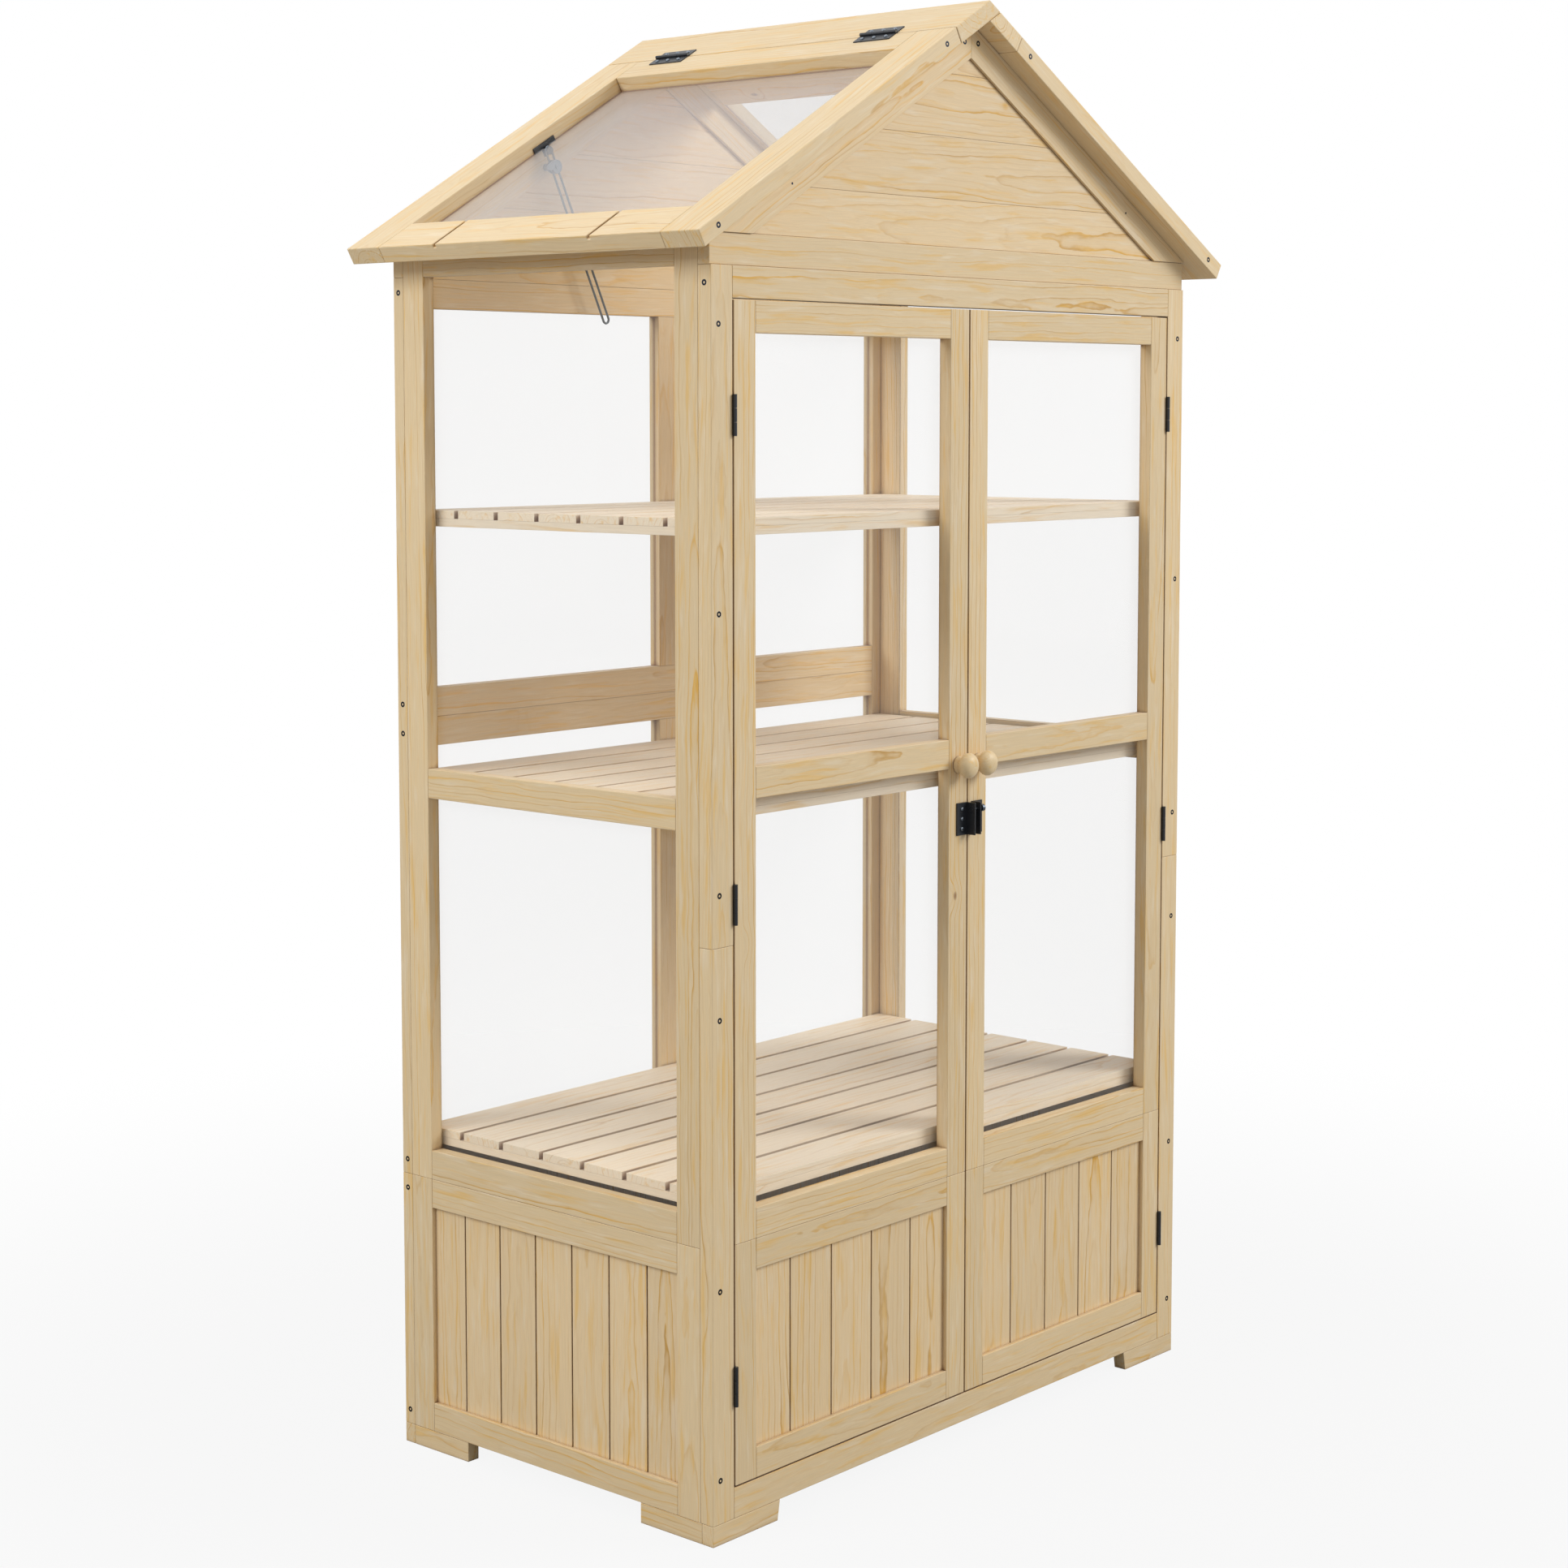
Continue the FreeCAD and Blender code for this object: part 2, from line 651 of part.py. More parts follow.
def ridge_boards():
    """The two boards along the ridge; the left one runs over the right one's edge."""
    ends = (f"-{ROOF_HALF}", ROOF_HALF)
    lap_x = "roof_stock / cos(pitch) / tan(pitch) / 2"
    lap = (lap_x, f"{RIDGE} - {lap_x} * tan(pitch)")
    edge_x = "ridge_cover * cos(pitch)"
    edge_z = f"{RIDGE} - ridge_cover * sin(pitch)"
    under_x = "(ridge_cover * cos(pitch) - roof_stock * sin(pitch))"
    under_z = f"{RIDGE} - ridge_cover * sin(pitch) - roof_stock * cos(pitch)"
    left = [(f"-{edge_x}", edge_z), ("0", RIDGE), lap, ("0", ROOF_UNDER), (f"-{under_x}", under_z)]
    right = [lap, (edge_x, edge_z), (under_x, under_z), ("0", ROOF_UNDER)]
    node("ridge_board_left", prism("ridge_board_left", "xz", left, *ends))
    node("ridge_board_right", prism("ridge_board_right", "xz", right, *ends))


def roof_slope(side):
    """A glazed frame drawn flat from the ridge board's edge to the eaves; the left one is the sash."""
    sash = side == "left"
    name = "sash" if sash else "roof_right"
    top = "ridge_cover + sash_gap" if sash else "ridge_cover"
    under = "-(roof_stock - sash_lift)" if sash else "-roof_stock"
    half = ROOF_HALF
    inner = f"({half} - roof_stile)"
    head = "(ridge_cover + roof_top_rail)"
    tail = f"({SLOPE} - roof_bottom_rail)"
    bars = [
        box(name + "_stile_a", (top, f"-{half}", under), (SLOPE, f"-{inner}", "0")),
        box(name + "_stile_b", (top, inner, under), (SLOPE, half, "0")),
        box(name + "_top_rail", (top, f"-{inner}", under), (head, inner, "0")),
        box(name + "_bottom_rail", (tail, f"-{inner}", under), (SLOPE, inner, "0")),
    ]
    glass_low = (f"{head} - roof_pane_lap", f"-{inner} - roof_pane_lap", "-roof_pane_depth - roof_pane")
    glass_high = (f"{tail} + roof_pane_lap", f"{inner} + roof_pane_lap", "-roof_pane_depth")
    glass = box(name + "_glass", glass_low, glass_high)
    rebate_low = glass_low[:2] + (under,)
    rebate = box(name + "_rebate", rebate_low, glass_high)
    spots = [
        (f"{top} + roof_top_rail / 2", "0", f"{under} / 2"),
        (f"{SLOPE} - roof_bottom_rail / 2", "0", f"{under} / 2"),
    ]
    heads_a, seats_a = screws(name + "_screw_a", "y", spots, (f"-{half}", "+"))
    heads_b, seats_b = screws(name + "_screw_b", "y", spots, (half, "-"))
    drains = []
    for count, place in enumerate(("-drain_rear", "drain_front")):
        low = (f"{tail}", f"{place} - drain_width / 2", "-drain_depth")
        drains.append(box(f"{name}_drain_{count}", low, (SLOPE, f"{place} + drain_width / 2", "0")))
    cuts = [rebate] + seats_a + seats_b + drains
    shaped = cut(name + "_bars", group(name + "_stock", bars), cuts)
    node(name + "_frame", on_slope(name + "_frame", [shaped], side))
    if sash:
        reach = "bracket_length / 2 + bracket_clearance"
        edge = f"-{inner} - roof_pane_lap"
        plate_side = f"-{inner} + bracket_stock + bracket_clearance"
        notches = [
            box(
                "sash_pane_plate_notch",
                (f"{STAY_ALONG} - ({reach})", edge, under),
                (f"{STAY_ALONG} + {reach}", plate_side, "-roof_pane_depth"),
            ),
            box(
                "sash_pane_loop_notch",
                (f"{STAY_ALONG} - {LOOP_TOP} - bracket_clearance", edge, under),
                (f"{STAY_ALONG} + {LOOP_TOP} + bracket_clearance", f"{RIVET_END} + bracket_clearance",
                 "-roof_pane_depth"),
            ),
        ]
        glass = cut("sash_notched_glass", glass, notches)
    node(name + "_pane", on_slope(name + "_pane", [glass], side))
    heads_name = "sash_screws" if sash else "roof_screws"
    node(heads_name, on_slope(heads_name, heads_a + heads_b, side))


def hinge_leaf(name, length, plate, faces, owned):
    """One leaf drawn with the pin along Z: plate is its start and reach along X, faces its two Y planes."""
    start, reach = plate
    pieces = [box(name + "_plate", (start, faces[0], "0"), (reach, faces[1], length))]
    for segment in owned:
        low = f"{length} * {segment} / {KNUCKLES}" + (" + knuckle_gap / 2" if segment else "")
        high = f"{length} * {segment + 1} / {KNUCKLES}"
        if segment + 1 < KNUCKLES:
            high += " - knuckle_gap / 2"
        pieces.append(box(f"{name}_tab_{segment}", ("0", faces[0], low), (start, faces[1], high)))
        pieces.append(rod(f"{name}_barrel_{segment}", "z", ("0", "0", low), high, "knuckle"))
    bore = rod(name + "_bore", "z", ("0", "0", "0"), length, "pin + pin_clearance")
    return cut(name, fuse(name + "_solid", pieces), [bore])


def door_hinges():
    """Three butt hinges on each door, with their leaves in the gap beside the post."""
    fixed = []
    pins = []
    near = "door_side_gap / 2 - door_leaf"
    far = "door_side_gap / 2"
    plate = ("knuckle + knuckle_gap", "knuckle + knuckle_gap + door_leaf_reach")
    outward = FreeCAD.Rotation(FreeCAD.Vector(0, 0, 1), 90)
    for side, sign in (("left", "-"), ("right", "")):
        moving = []
        for place, level in DOOR_HINGES.items():
            name = f"{side}_{place}_hinge"
            outer, inner = ((near, far), (f"-({far})", f"-({near})"))
            post_faces, door_faces = (outer, inner) if side == "left" else (inner, outer)
            for leaf_name, faces, owned, kept in (
                ("post", post_faces, (0, 2), fixed),
                ("door", door_faces, (1,), moving),
            ):
                leaf = hinge_leaf(f"{name}_{leaf_name}_leaf", "door_hinge", plate, faces, owned)
                leaf.Placement = FreeCAD.Placement(FreeCAD.Vector(), outward)
                for letter, value in zip("xyz", (f"{sign}{DOOR_PIN_X}", DOOR_PIN_Y, level)):
                    leaf.setExpression(f"Placement.Base.{letter}", formula(value))
                kept.append(leaf)
            start = (f"{sign}{DOOR_PIN_X}", DOOR_PIN_Y, level)
            pins.append(rod(name + "_pin", "z", start, f"{level} + door_hinge", "pin"))
        node(f"door_{side}_hinge_leaves", group(f"door_{side}_hinge_leaves", moving))
    node("door_hinge_post_leaves", group("door_hinge_post_leaves", fixed))
    return pins


def roof_hinges():
    """Two surface hinges across the seam between the left ridge board and the sash."""
    fixed = []
    moving = []
    pins = []
    plate = ("knuckle + knuckle_gap", "roof_leaf_reach")
    faces = (f"-{ROOF_PIN}", f"-{ROOF_PIN} + roof_leaf")
    for place, sign in (("rear", "-"), ("front", "")):
        middle = f"{sign}roof_hinge_spread"
        for leaf_name, owned, kept, turn, start in (
            ("ridge", (0, 2), fixed, 180, f"{middle} - roof_hinge / 2"),
            ("sash", (1,), moving, 0, f"{middle} + roof_hinge / 2"),
        ):
            name = f"roof_{place}_{leaf_name}_leaf"
            leaf = hinge_leaf(name, "roof_hinge", plate, faces, owned)
            heads = []
            for count in (-1, 0, 1):
                along = f"roof_hinge / 2 + {count} * roof_hinge_screw_pitch"
                spot = ("roof_hinge_screw_out", faces[1], along)
                top = f"{faces[1]} + small_screw_head"
                heads.append(rod(f"{name}_screw_{count}", "y", spot, top, "small_screw"))
            piece = group(name + "_and_screws", [leaf] + heads)
            upright = FreeCAD.Rotation(FreeCAD.Vector(1, 0, 0), 90)
            about = FreeCAD.Rotation(FreeCAD.Vector(0, 0, 1), turn)
            piece.Placement = FreeCAD.Placement(FreeCAD.Vector(), about.multiply(upright))
            for letter, value in zip("xyz", (ROOF_SEAM, start, ROOF_PIN)):
                piece.setExpression(f"Placement.Base.{letter}", formula(value))
            kept.append(piece)
        start = (ROOF_SEAM, f"{middle} - roof_hinge / 2", ROOF_PIN)
        pins.append(rod(f"roof_{place}_pin", "y", start, f"{middle} + roof_hinge / 2", "pin"))
    node("sash_hinge_ridge_leaves", on_slope("sash_hinge_ridge_leaves", fixed, "left"))
    node("sash_hinge_leaves", on_slope("sash_hinge_leaves", moving, "left"))
    return on_slope("roof_hinge_pins", pins, "left")


def stay():
    """The bracket, wire loop, clamp and clamp base that hold the sash open, drawn on the left slope."""
    inner = f"-({ROOF_HALF} - roof_stile)"
    plane = f"-{STAY_Y}"
    face = f"{inner} + bracket_stock"
    low = (f"{STAY_ALONG} - bracket_length / 2", inner, "-bracket_foot")
    plate = box("stay_plate", low, (f"{STAY_ALONG} + bracket_length / 2", face, "-bracket_top"))
    low = (f"{STAY_ALONG} - bracket_lug / 2", inner, "-bracket_low")
    lug = box("stay_lug", low, (f"{STAY_ALONG} + bracket_lug / 2", face, "-bracket_foot"))
    pin_radius = "stay_pitch / 2 - stay_wire - stay_pin_slack"
    pivot = (STAY_ALONG, face, "-stay_drop")
    rivet = rod("stay_rivet", "y", pivot, RIVET_START, pin_radius)
    cap = rod("stay_rivet_cap", "y", (STAY_ALONG, RIVET_START, "-stay_drop"), RIVET_END, "rivet_head")
    bracket = fuse("stay_bracket_solid", [plate, lug, rivet, cap])
    node("stay_bracket", on_slope("stay_bracket", [bracket], "left"))

    half = "stay_pitch / 2"
    straight = f"(stay_length - {half})"
    pieces = [
        rod("stay_wire_a", "z", (f"-{half}", "0", f"-{straight}"), "0", "stay_wire"),
        rod("stay_wire_b", "z", (half, "0", f"-{straight}"), "0", "stay_wire"),
    ]
    for bend, turn, drop in (("upper", 90, "0"), ("lower", -90, f"-{straight}")):
        ring = doc.addObject("Part::Torus", f"stay_{bend}_bend")
        ring.setExpression("Radius1", formula(half))
        ring.setExpression("Radius2", formula("stay_wire"))
        ring.Angle3 = 180
        ring.Placement = FreeCAD.Placement(FreeCAD.Vector(), FreeCAD.Rotation(FreeCAD.Vector(1, 0, 0), turn))
        ring.setExpression("Placement.Base.z", formula(drop))
        pieces.append(ring)
    loop = fuse("stay_wire_loop", pieces)
    place = f"placement(vector({STAY_ALONG}; {plane}; -stay_drop); rotation(vector(0; 1; 0); 0 - stay_lean))"
    loop.setExpression("Placement", formula(place))
    node("stay_loop", on_slope("stay_loop", [loop], "left"))

    wires = (f"{plane} - stay_wire", f"{plane} + stay_wire")
    middle = (CLAMP_ALONG, f"-{CLAMP_DROP}")
    wing_at = (f"{CLAMP_ALONG} + clamp_wing_out", f"-{CLAMP_DROP} + clamp_wing_up")
    front = f"{wires[1]} + clamp_stock"
    washer = f"{wires[0]} - clamp_washer"
    link_low = (CLAMP_ALONG, wires[1], f"-{CLAMP_DROP}")
    link_high = (f"{CLAMP_ALONG} + clamp_wing_out", front, f"-{CLAMP_DROP} + clamp_wing_up + clamp_wing")
    pieces = [
        rod("clamp_disc", "y", (middle[0], wires[1], middle[1]), front, "clamp_radius"),
        rod("clamp_bolt", "y", (middle[0], washer, middle[1]), f"{front} + clamp_washer / 2", "clamp_bolt"),
        rod("clamp_washer", "y", (middle[0], washer, middle[1]), wires[0], "clamp_radius"),
        rod("clamp_wing", "y", (wing_at[0], wires[1], wing_at[1]), front, "clamp_wing"),
        box("clamp_wing_link", link_low, link_high),
    ]
    node("stay_clamp", on_slope("stay_clamp", [fuse("stay_clamp_solid", pieces)], "left"))
    rafter_face = "-(depth / 2 - post_stock)"
    boss_start = (middle[0], rafter_face, middle[1])
    base = rod("clamp_base_boss", "y", boss_start, f"{washer} - clamp_clearance", "clamp_base")
    node("stay_base", on_slope("stay_base", [base], "left"))


def angle_bracket(name, edge, leaf_sign):
    """A steel angle on a door's meeting stile: a screwed leaf and a flange standing forward."""
    body = doc.addObject("PartDesign::Body", name + "_body")
    planes = {plane.Role: plane for plane in body.Origin.OriginFeatures}
    sketch = body.newObject("Sketcher::SketchObject", name + "_profile")
    sketch.AttachmentSupport = (planes["XY_Plane"], [""])
    sketch.MapMode = "FlatFace"
    sketch.setExpression("AttachmentOffset.Base.z", formula(LATCH_LOW))
    skin = f"{FRONT} - latch_stock"
    tip = f"{FRONT} - latch_reach"
    flange = (edge, f"{edge} + latch_stock")
    if leaf_sign == "-":
        corners = [
            (f"{edge} - latch_leaf", FRONT),
            (f"{edge} - latch_leaf", skin),
            (flange[0], skin),
            (flange[0], tip),
            (flange[1], tip),
            (flange[1], FRONT),
        ]
    else:
        corners = [
            (flange[0], FRONT),
            (flange[0], tip),
            (flange[1], tip),
            (flange[1], skin),
            (f"{flange[1]} + latch_leaf", skin),
            (f"{flange[1]} + latch_leaf", FRONT),
        ]
    outline(sketch, corners)
    pad = body.newObject("PartDesign::Pad", name + "_pad")
    pad.Profile = sketch
    pad.setExpression("Length", formula("latch_height"))
    doc.recompute()
    return body


def latch():
    """Two angle brackets on the meeting stiles and a sliding bolt through them."""
    bolt_z = f"{LATCH_TOP} - bolt_drop"
    bolt_y = f"{FRONT} - bolt_proud"
    left_edge = "-latch_left_edge"
    leaf_middle = {
        "left": f"{left_edge} - latch_leaf / 2",
        "right": "latch_right_edge + latch_stock + latch_leaf / 2",
    }
    head_face = f"{FRONT} - latch_stock - small_screw_head"
    holes = {
        "left": ("-", left_edge, "bolt + bolt_entry"),
        "right": ("+", "latch_right_edge", "bolt + pin_clearance"),
    }
    for side, (sign, edge, radius) in holes.items():
        name = f"latch_bracket_{side}"
        body = angle_bracket(name, edge, sign)
        hole = rod(name + "_hole", "x", (edge, bolt_y, bolt_z), f"{edge} + latch_stock", radius)
        heads = []
        for count in (-1, 0, 1):
            level = f"{LATCH_LOW} + latch_height / 2 + {count} * small_screw_pitch"
            spot = (leaf_middle[side], head_face, level)
            heads.append(rod(f"{name}_screw_{count}", "y", spot, f"{FRONT} - latch_stock", "small_screw"))
        node(name, group(name, [cut(name + "_drilled", body, [hole])] + heads))
    tip = f"{left_edge} + latch_stock + bolt_gap"
    head = "latch_right_edge + latch_stock + bolt_travel"
    shaft = rod("bolt_shaft", "x", (tip, bolt_y, bolt_z), f"{head} + bolt_head_stock", "bolt")
    grip = rod("bolt_grip", "x", (head, bolt_y, bolt_z), f"{head} + bolt_head_stock", "bolt_head")
    node("latch_bolt", fuse("latch_bolt", [shaft, grip]))


def shelf(name, top):
    """Slats running the full width on a frame of battens set flush with their ends."""
    end = f"({SIDE_INNER} - pane - shelf_end_gap)"
    front = f"({DOOR_BACK} + pane + shelf_front_gap)"
    back = f"({WALL_BACK} - shelf_back_gap)"
    count = int(SIZES["slats"])
    slat_pitch = f"({back} - {front} - slat) / {count - 1}"
    under = f"{top} - slat_stock"
    low = f"{top} - slat_stock - batten_stock"
    pieces = []
    for index in range(count):
        start = f"{front} + {index} * {slat_pitch}"
        pieces.append(box(f"{name}_slat_{index}", (f"-{end}", start, under), (end, f"{start} + slat", top)))
    first = f"{front} + batten"
    last = f"{back} - batten"
    pieces += [
        box(f"{name}_batten_front", (f"-{end}", front, low), (end, first, under)),
        box(f"{name}_batten_back", (f"-{end}", last, low), (end, back, under)),
        box(f"{name}_batten_left", (f"-{end}", first, low), (f"-{end} + batten", last, under)),
        box(f"{name}_batten_right", (f"{end} - batten", first, low), (end, last, under)),
    ]
    node(name, group(name, pieces))


def cleats():
    """Small blocks on the side walls' stiles that carry the shelves."""
    pieces = []
    front = f"{POST_BACK} + cleat_gap"
    back = f"{WALL_BACK} - cleat_gap"
    for level in ("shelf_low", "shelf_middle", "shelf_high"):
        top = f"{level} - slat_stock - batten_stock"
        for side in ("left", "right"):
            low, high = mirrored(side, f"{SIDE_INNER} - cleat_stock", SIDE_INNER)
            spans = {"front": (front, f"{front} + cleat_depth"), "back": (f"{back} - cleat_depth", back)}
            for place, (start, end) in spans.items():
                corner = (low, start, f"{top} - cleat_height")
                pieces.append(box(f"cleat_{level}_{side}_{place}", corner, (high, end, top)))
    node("shelf_cleats", group("shelf_cleats", pieces))


def check():
    """Stops the build if any object failed or any sub-part is empty or broken."""
    for item in doc.Objects:
        if "Invalid" in item.State or "Error" in item.State:
            raise RuntimeError(f"{item.Name} did not compute: {item.State}")
    for part in NODES:
        if part.Shape.isNull() or not part.Shape.isValid() or not part.Shape.Solids:
            raise RuntimeError(f"{part.Label} has no valid solid")


def main():
    """Builds the greenhouse and writes each sub-part to its own file."""
    feet("feet_front", "front")
    feet("feet_back", "back")
    heads = front_wall()
    back_wall()
    for side in ("left", "right"):
        side_wall(side)
        door(side)
    heads += gable("front") + gable("back")
    node("wall_screws", group("wall_screws", heads))
    ridge_boards()
    for side in ("left", "right"):
        roof_slope(side)
    pins = door_hinges()
    node("hinge_pins", group("hinge_pins", pins + [roof_hinges()]))
    stay()
    latch()
    for name in ("shelf_low", "shelf_middle", "shelf_high"):
        shelf(name, name)
    cleats()
    doc.recompute()
    check()
    os.makedirs("parts", exist_ok=True)
    for part in NODES:
        part.Shape.exportStep(f"parts/{part.Label}.step")
        bounds = part.Shape.BoundBox
        low = (round(bounds.XMin, 1), round(bounds.YMin, 1), round(bounds.ZMin, 1))
        high = (round(bounds.XMax, 1), round(bounds.YMax, 1), round(bounds.ZMax, 1))
        print(part.Label, len(part.Shape.Solids), "solids from", low, "to", high)


main()
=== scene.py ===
import json
import logging
import math
import random
from dataclasses import dataclass, field
from enum import Enum
from functools import partial
from typing import Callable, ClassVar, Dict, List, Optional, Sequence, Tuple

import bmesh
import bpy
from bmesh.types import BMesh, BMVert
from bpy.types import ID, Material, Mesh, Node, NodeSocket, NodeTree, Object
from mathutils import Matrix, Vector


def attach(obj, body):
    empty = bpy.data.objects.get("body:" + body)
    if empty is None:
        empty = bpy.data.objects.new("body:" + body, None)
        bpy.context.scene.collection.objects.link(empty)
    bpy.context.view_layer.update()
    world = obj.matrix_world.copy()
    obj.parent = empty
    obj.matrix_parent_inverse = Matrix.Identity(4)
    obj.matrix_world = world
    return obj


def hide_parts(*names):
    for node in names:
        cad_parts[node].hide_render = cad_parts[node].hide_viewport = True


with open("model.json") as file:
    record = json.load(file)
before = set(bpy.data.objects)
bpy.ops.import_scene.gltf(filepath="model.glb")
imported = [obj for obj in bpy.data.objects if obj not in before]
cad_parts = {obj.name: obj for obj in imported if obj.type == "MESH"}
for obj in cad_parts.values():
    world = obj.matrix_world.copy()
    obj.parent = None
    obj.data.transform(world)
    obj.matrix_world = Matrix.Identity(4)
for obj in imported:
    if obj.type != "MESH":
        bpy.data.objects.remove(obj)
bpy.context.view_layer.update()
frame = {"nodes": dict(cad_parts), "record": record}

# A wooden mini greenhouse, dressed for the eye. Sizes are in metres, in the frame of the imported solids:
# the origin on the ground in the middle of the footprint, +X to the right, -Y to the front, +Z up.

log = logging.getLogger("greenhouse")

Point = Tuple[float, float, float]
Spot = Tuple[float, float]
Values = Dict[object, object]
AddNode = Callable[[str, Values], Node]
HeadSpot = Tuple[Point, Vector, float]

AXES = (Vector((1, 0, 0)), Vector((0, 1, 0)), Vector((0, 0, 1)))
FRONTWARD, BACKWARD, UPWARD = Vector((0, -1, 0)), AXES[1], AXES[2]
TOUCHING = 1e-5
SMOOTH: Values = {"interpolation_type": "SMOOTHSTEP"}
BLEND: Values = {"data_type": "RGBA"}

NODE_BODY: Dict[str, str] = {
    node: body for body, nodes in frame["record"]["behaviour"]["bodies"].items() for node in nodes
}
NODE_SLOT: Dict[str, str] = {part["node"]: part["material_slot"] for part in frame["record"]["subparts"]}


class Worded(Enum):
    """A choice that the names of the nodes spell out."""

    @property
    def word(self) -> str:
        """The choice as it is written in the names of the nodes."""
        return self.name.lower()


class Side(Worded):
    """The left or the right of a viewer who faces the doors."""

    LEFT = -1
    RIGHT = 1

    def span(self, near: float, far: float) -> Spot:
        """The lower and higher X of what lies between two distances from the middle."""
        return (near, far) if self is Side.RIGHT else (-far, -near)


class End(Worded):
    """The front or the back of the cabinet."""

    FRONT = -1
    BACK = 1


class Grain(Enum):
    """The axis that a board's fibres run along."""

    X = 0
    Y = 1
    Z = 2


@dataclass(frozen=True)
class Cabinet:
    """Sizes that several sub-assemblies share."""

    half_width: float = 0.400
    half_depth: float = 0.226
    foot_height: float = 0.021
    section_joint: float = 0.296
    post_joint: float = 0.593
    wall_top: float = 1.279
    stock: float = 0.015
    rail: float = 0.031
    post_stock: float = 0.017
    post_face: float = 0.0305
    board_stock: float = 0.009
    board_recess: float = 0.005
    board_tongue: float = 0.0075
    seam: float = 0.0008
    seam_depth: float = 0.005
    chamfer: float = 0.00032
    chamfer_depth: float = 0.0004
    roof_cover: float = 0.065
    pitch: float = math.radians(30.0)
    eaves_rise: float = 0.0013
    eaves: float = 0.0425
    verge: float = 0.024
    roof_stock: float = 0.0187

    @property
    def sill_top(self) -> float:
        """The top of the lowest rails."""
        return self.foot_height + self.rail

    @property
    def header_top(self) -> float:
        """The top of the front header, under the tie beam."""
        return self.wall_top - self.rail

    @property
    def header_low(self) -> float:
        """The underside of the front header."""
        return self.wall_top - 2 * self.rail

    @property
    def roof_under(self) -> float:
        """The height of the roof boards' underside at the middle."""
        return self.wall_top + self.eaves_rise + self.half_width * math.tan(self.pitch)

    @property
    def ridge(self) -> float:
        """The height of the ridge."""
        return self.roof_under + self.roof_stock / math.cos(self.pitch)

    @property
    def roof_half(self) -> float:
        """Half the length of the roof."""
        return self.half_depth + self.verge

    @property
    def slope_end(self) -> float:
        """The distance down a slope from the ridge to the eaves."""
        return (self.half_width + self.eaves) / math.cos(self.pitch)

    def slope(self, side: Side) -> Matrix:
        """The place of a piece drawn with X down a slope, Z out of it and its origin on the ridge.

        Args:
            side: The slope that the piece lies on.

        Returns:
            The matrix that lays it there.
        """
        half = self.pitch / 2
        turns = {
            Side.RIGHT: Matrix.Rotation(self.pitch, 4, "Y"),
            Side.LEFT: Matrix.Rotation(math.pi, 4, Vector((-math.sin(half), 0.0, math.cos(half)))),
        }
        return Matrix.Translation((0.0, 0.0, self.ridge)) @ turns[side]


BODY = Cabinet()


def linear(colour: str) -> Tuple[float, float, float, float]:
    """Turns an sRGB hex colour into linear values.

    Args:
        colour: Six hex digits after a hash sign.

    Returns:
        Red, green, blue and an alpha of 1.
    """
    values = []
    for start in (1, 3, 5):
        value = int(colour[start:start + 2], 16) / 255
        values.append(value / 12.92 if value <= 0.04045 else ((value + 0.055) / 1.055) ** 2.4)
    return (values[0], values[1], values[2], 1.0)


def add_node(tree: NodeTree, kind: str, values: Values) -> Node:
    """Adds a node with its settings, constants and links.

    Args:
        tree: The node tree that gets the node.
        kind: The node's type, without its ShaderNode prefix.
        values: The node's own settings by name, and its sockets by name or number. A socket takes a constant,
            the output that feeds it or a node whose first output does.

    Returns:
        The new node.
    """
    node = tree.nodes.new("ShaderNode" + kind)
    for key, value in values.items():
        if isinstance(value, Node):
            value = next(output for output in value.outputs if output.enabled)
        if isinstance(key, str) and hasattr(node, key):
            setattr(node, key, value)
        elif isinstance(value, NodeSocket):
            tree.links.new(value, node.inputs[key])
        else:
            node.inputs[key].default_value = value
    return node


def add_object(name: str, data: ID) -> Object:
    """A new object at the origin, linked to the scene."""
    made = bpy.data.objects.new(name, data)
    bpy.context.scene.collection.objects.link(made)
    return made


def blank(name: str) -> Tuple[Material, AddNode]:
    """A new material with no nodes, and the helper that adds them to it."""
    material = bpy.data.materials.new(name)
    material.use_nodes = True
    material.node_tree.nodes.clear()
    return material, partial(add_node, material.node_tree)


def streaks(add: AddNode, vector: object, waves: Point, detail: float = 3.0, roughness: float = 0.5,
            start: Point = (0.0, 0.0, 0.0)) -> Node:
    """Noise that is drawn out along a board.

    Args:
        add: Adds the nodes to a material.
        vector: The place in the wood, along, across and through the board.
        waves: How many waves there are in a metre each way.
        detail: How many finer noises are laid over it.
        roughness: How strong those are.
        start: Where in the noise the wood begins.

    Returns:
        The noise.
    """
    stretched = add("Mapping", {"Vector": vector, "Location": start, "Scale": waves})
    return add("TexNoise", {"Vector": stretched, "Scale": 1.0, "Detail": detail, "Roughness": roughness})


def dress(piece: Object, material: Material) -> None:
    """Gives every material slot of an object's own the one material."""
    if not piece.material_slots:
        piece.data.materials.append(material)
    for slot in piece.material_slots:
        slot.link = "OBJECT"
        slot.material = material


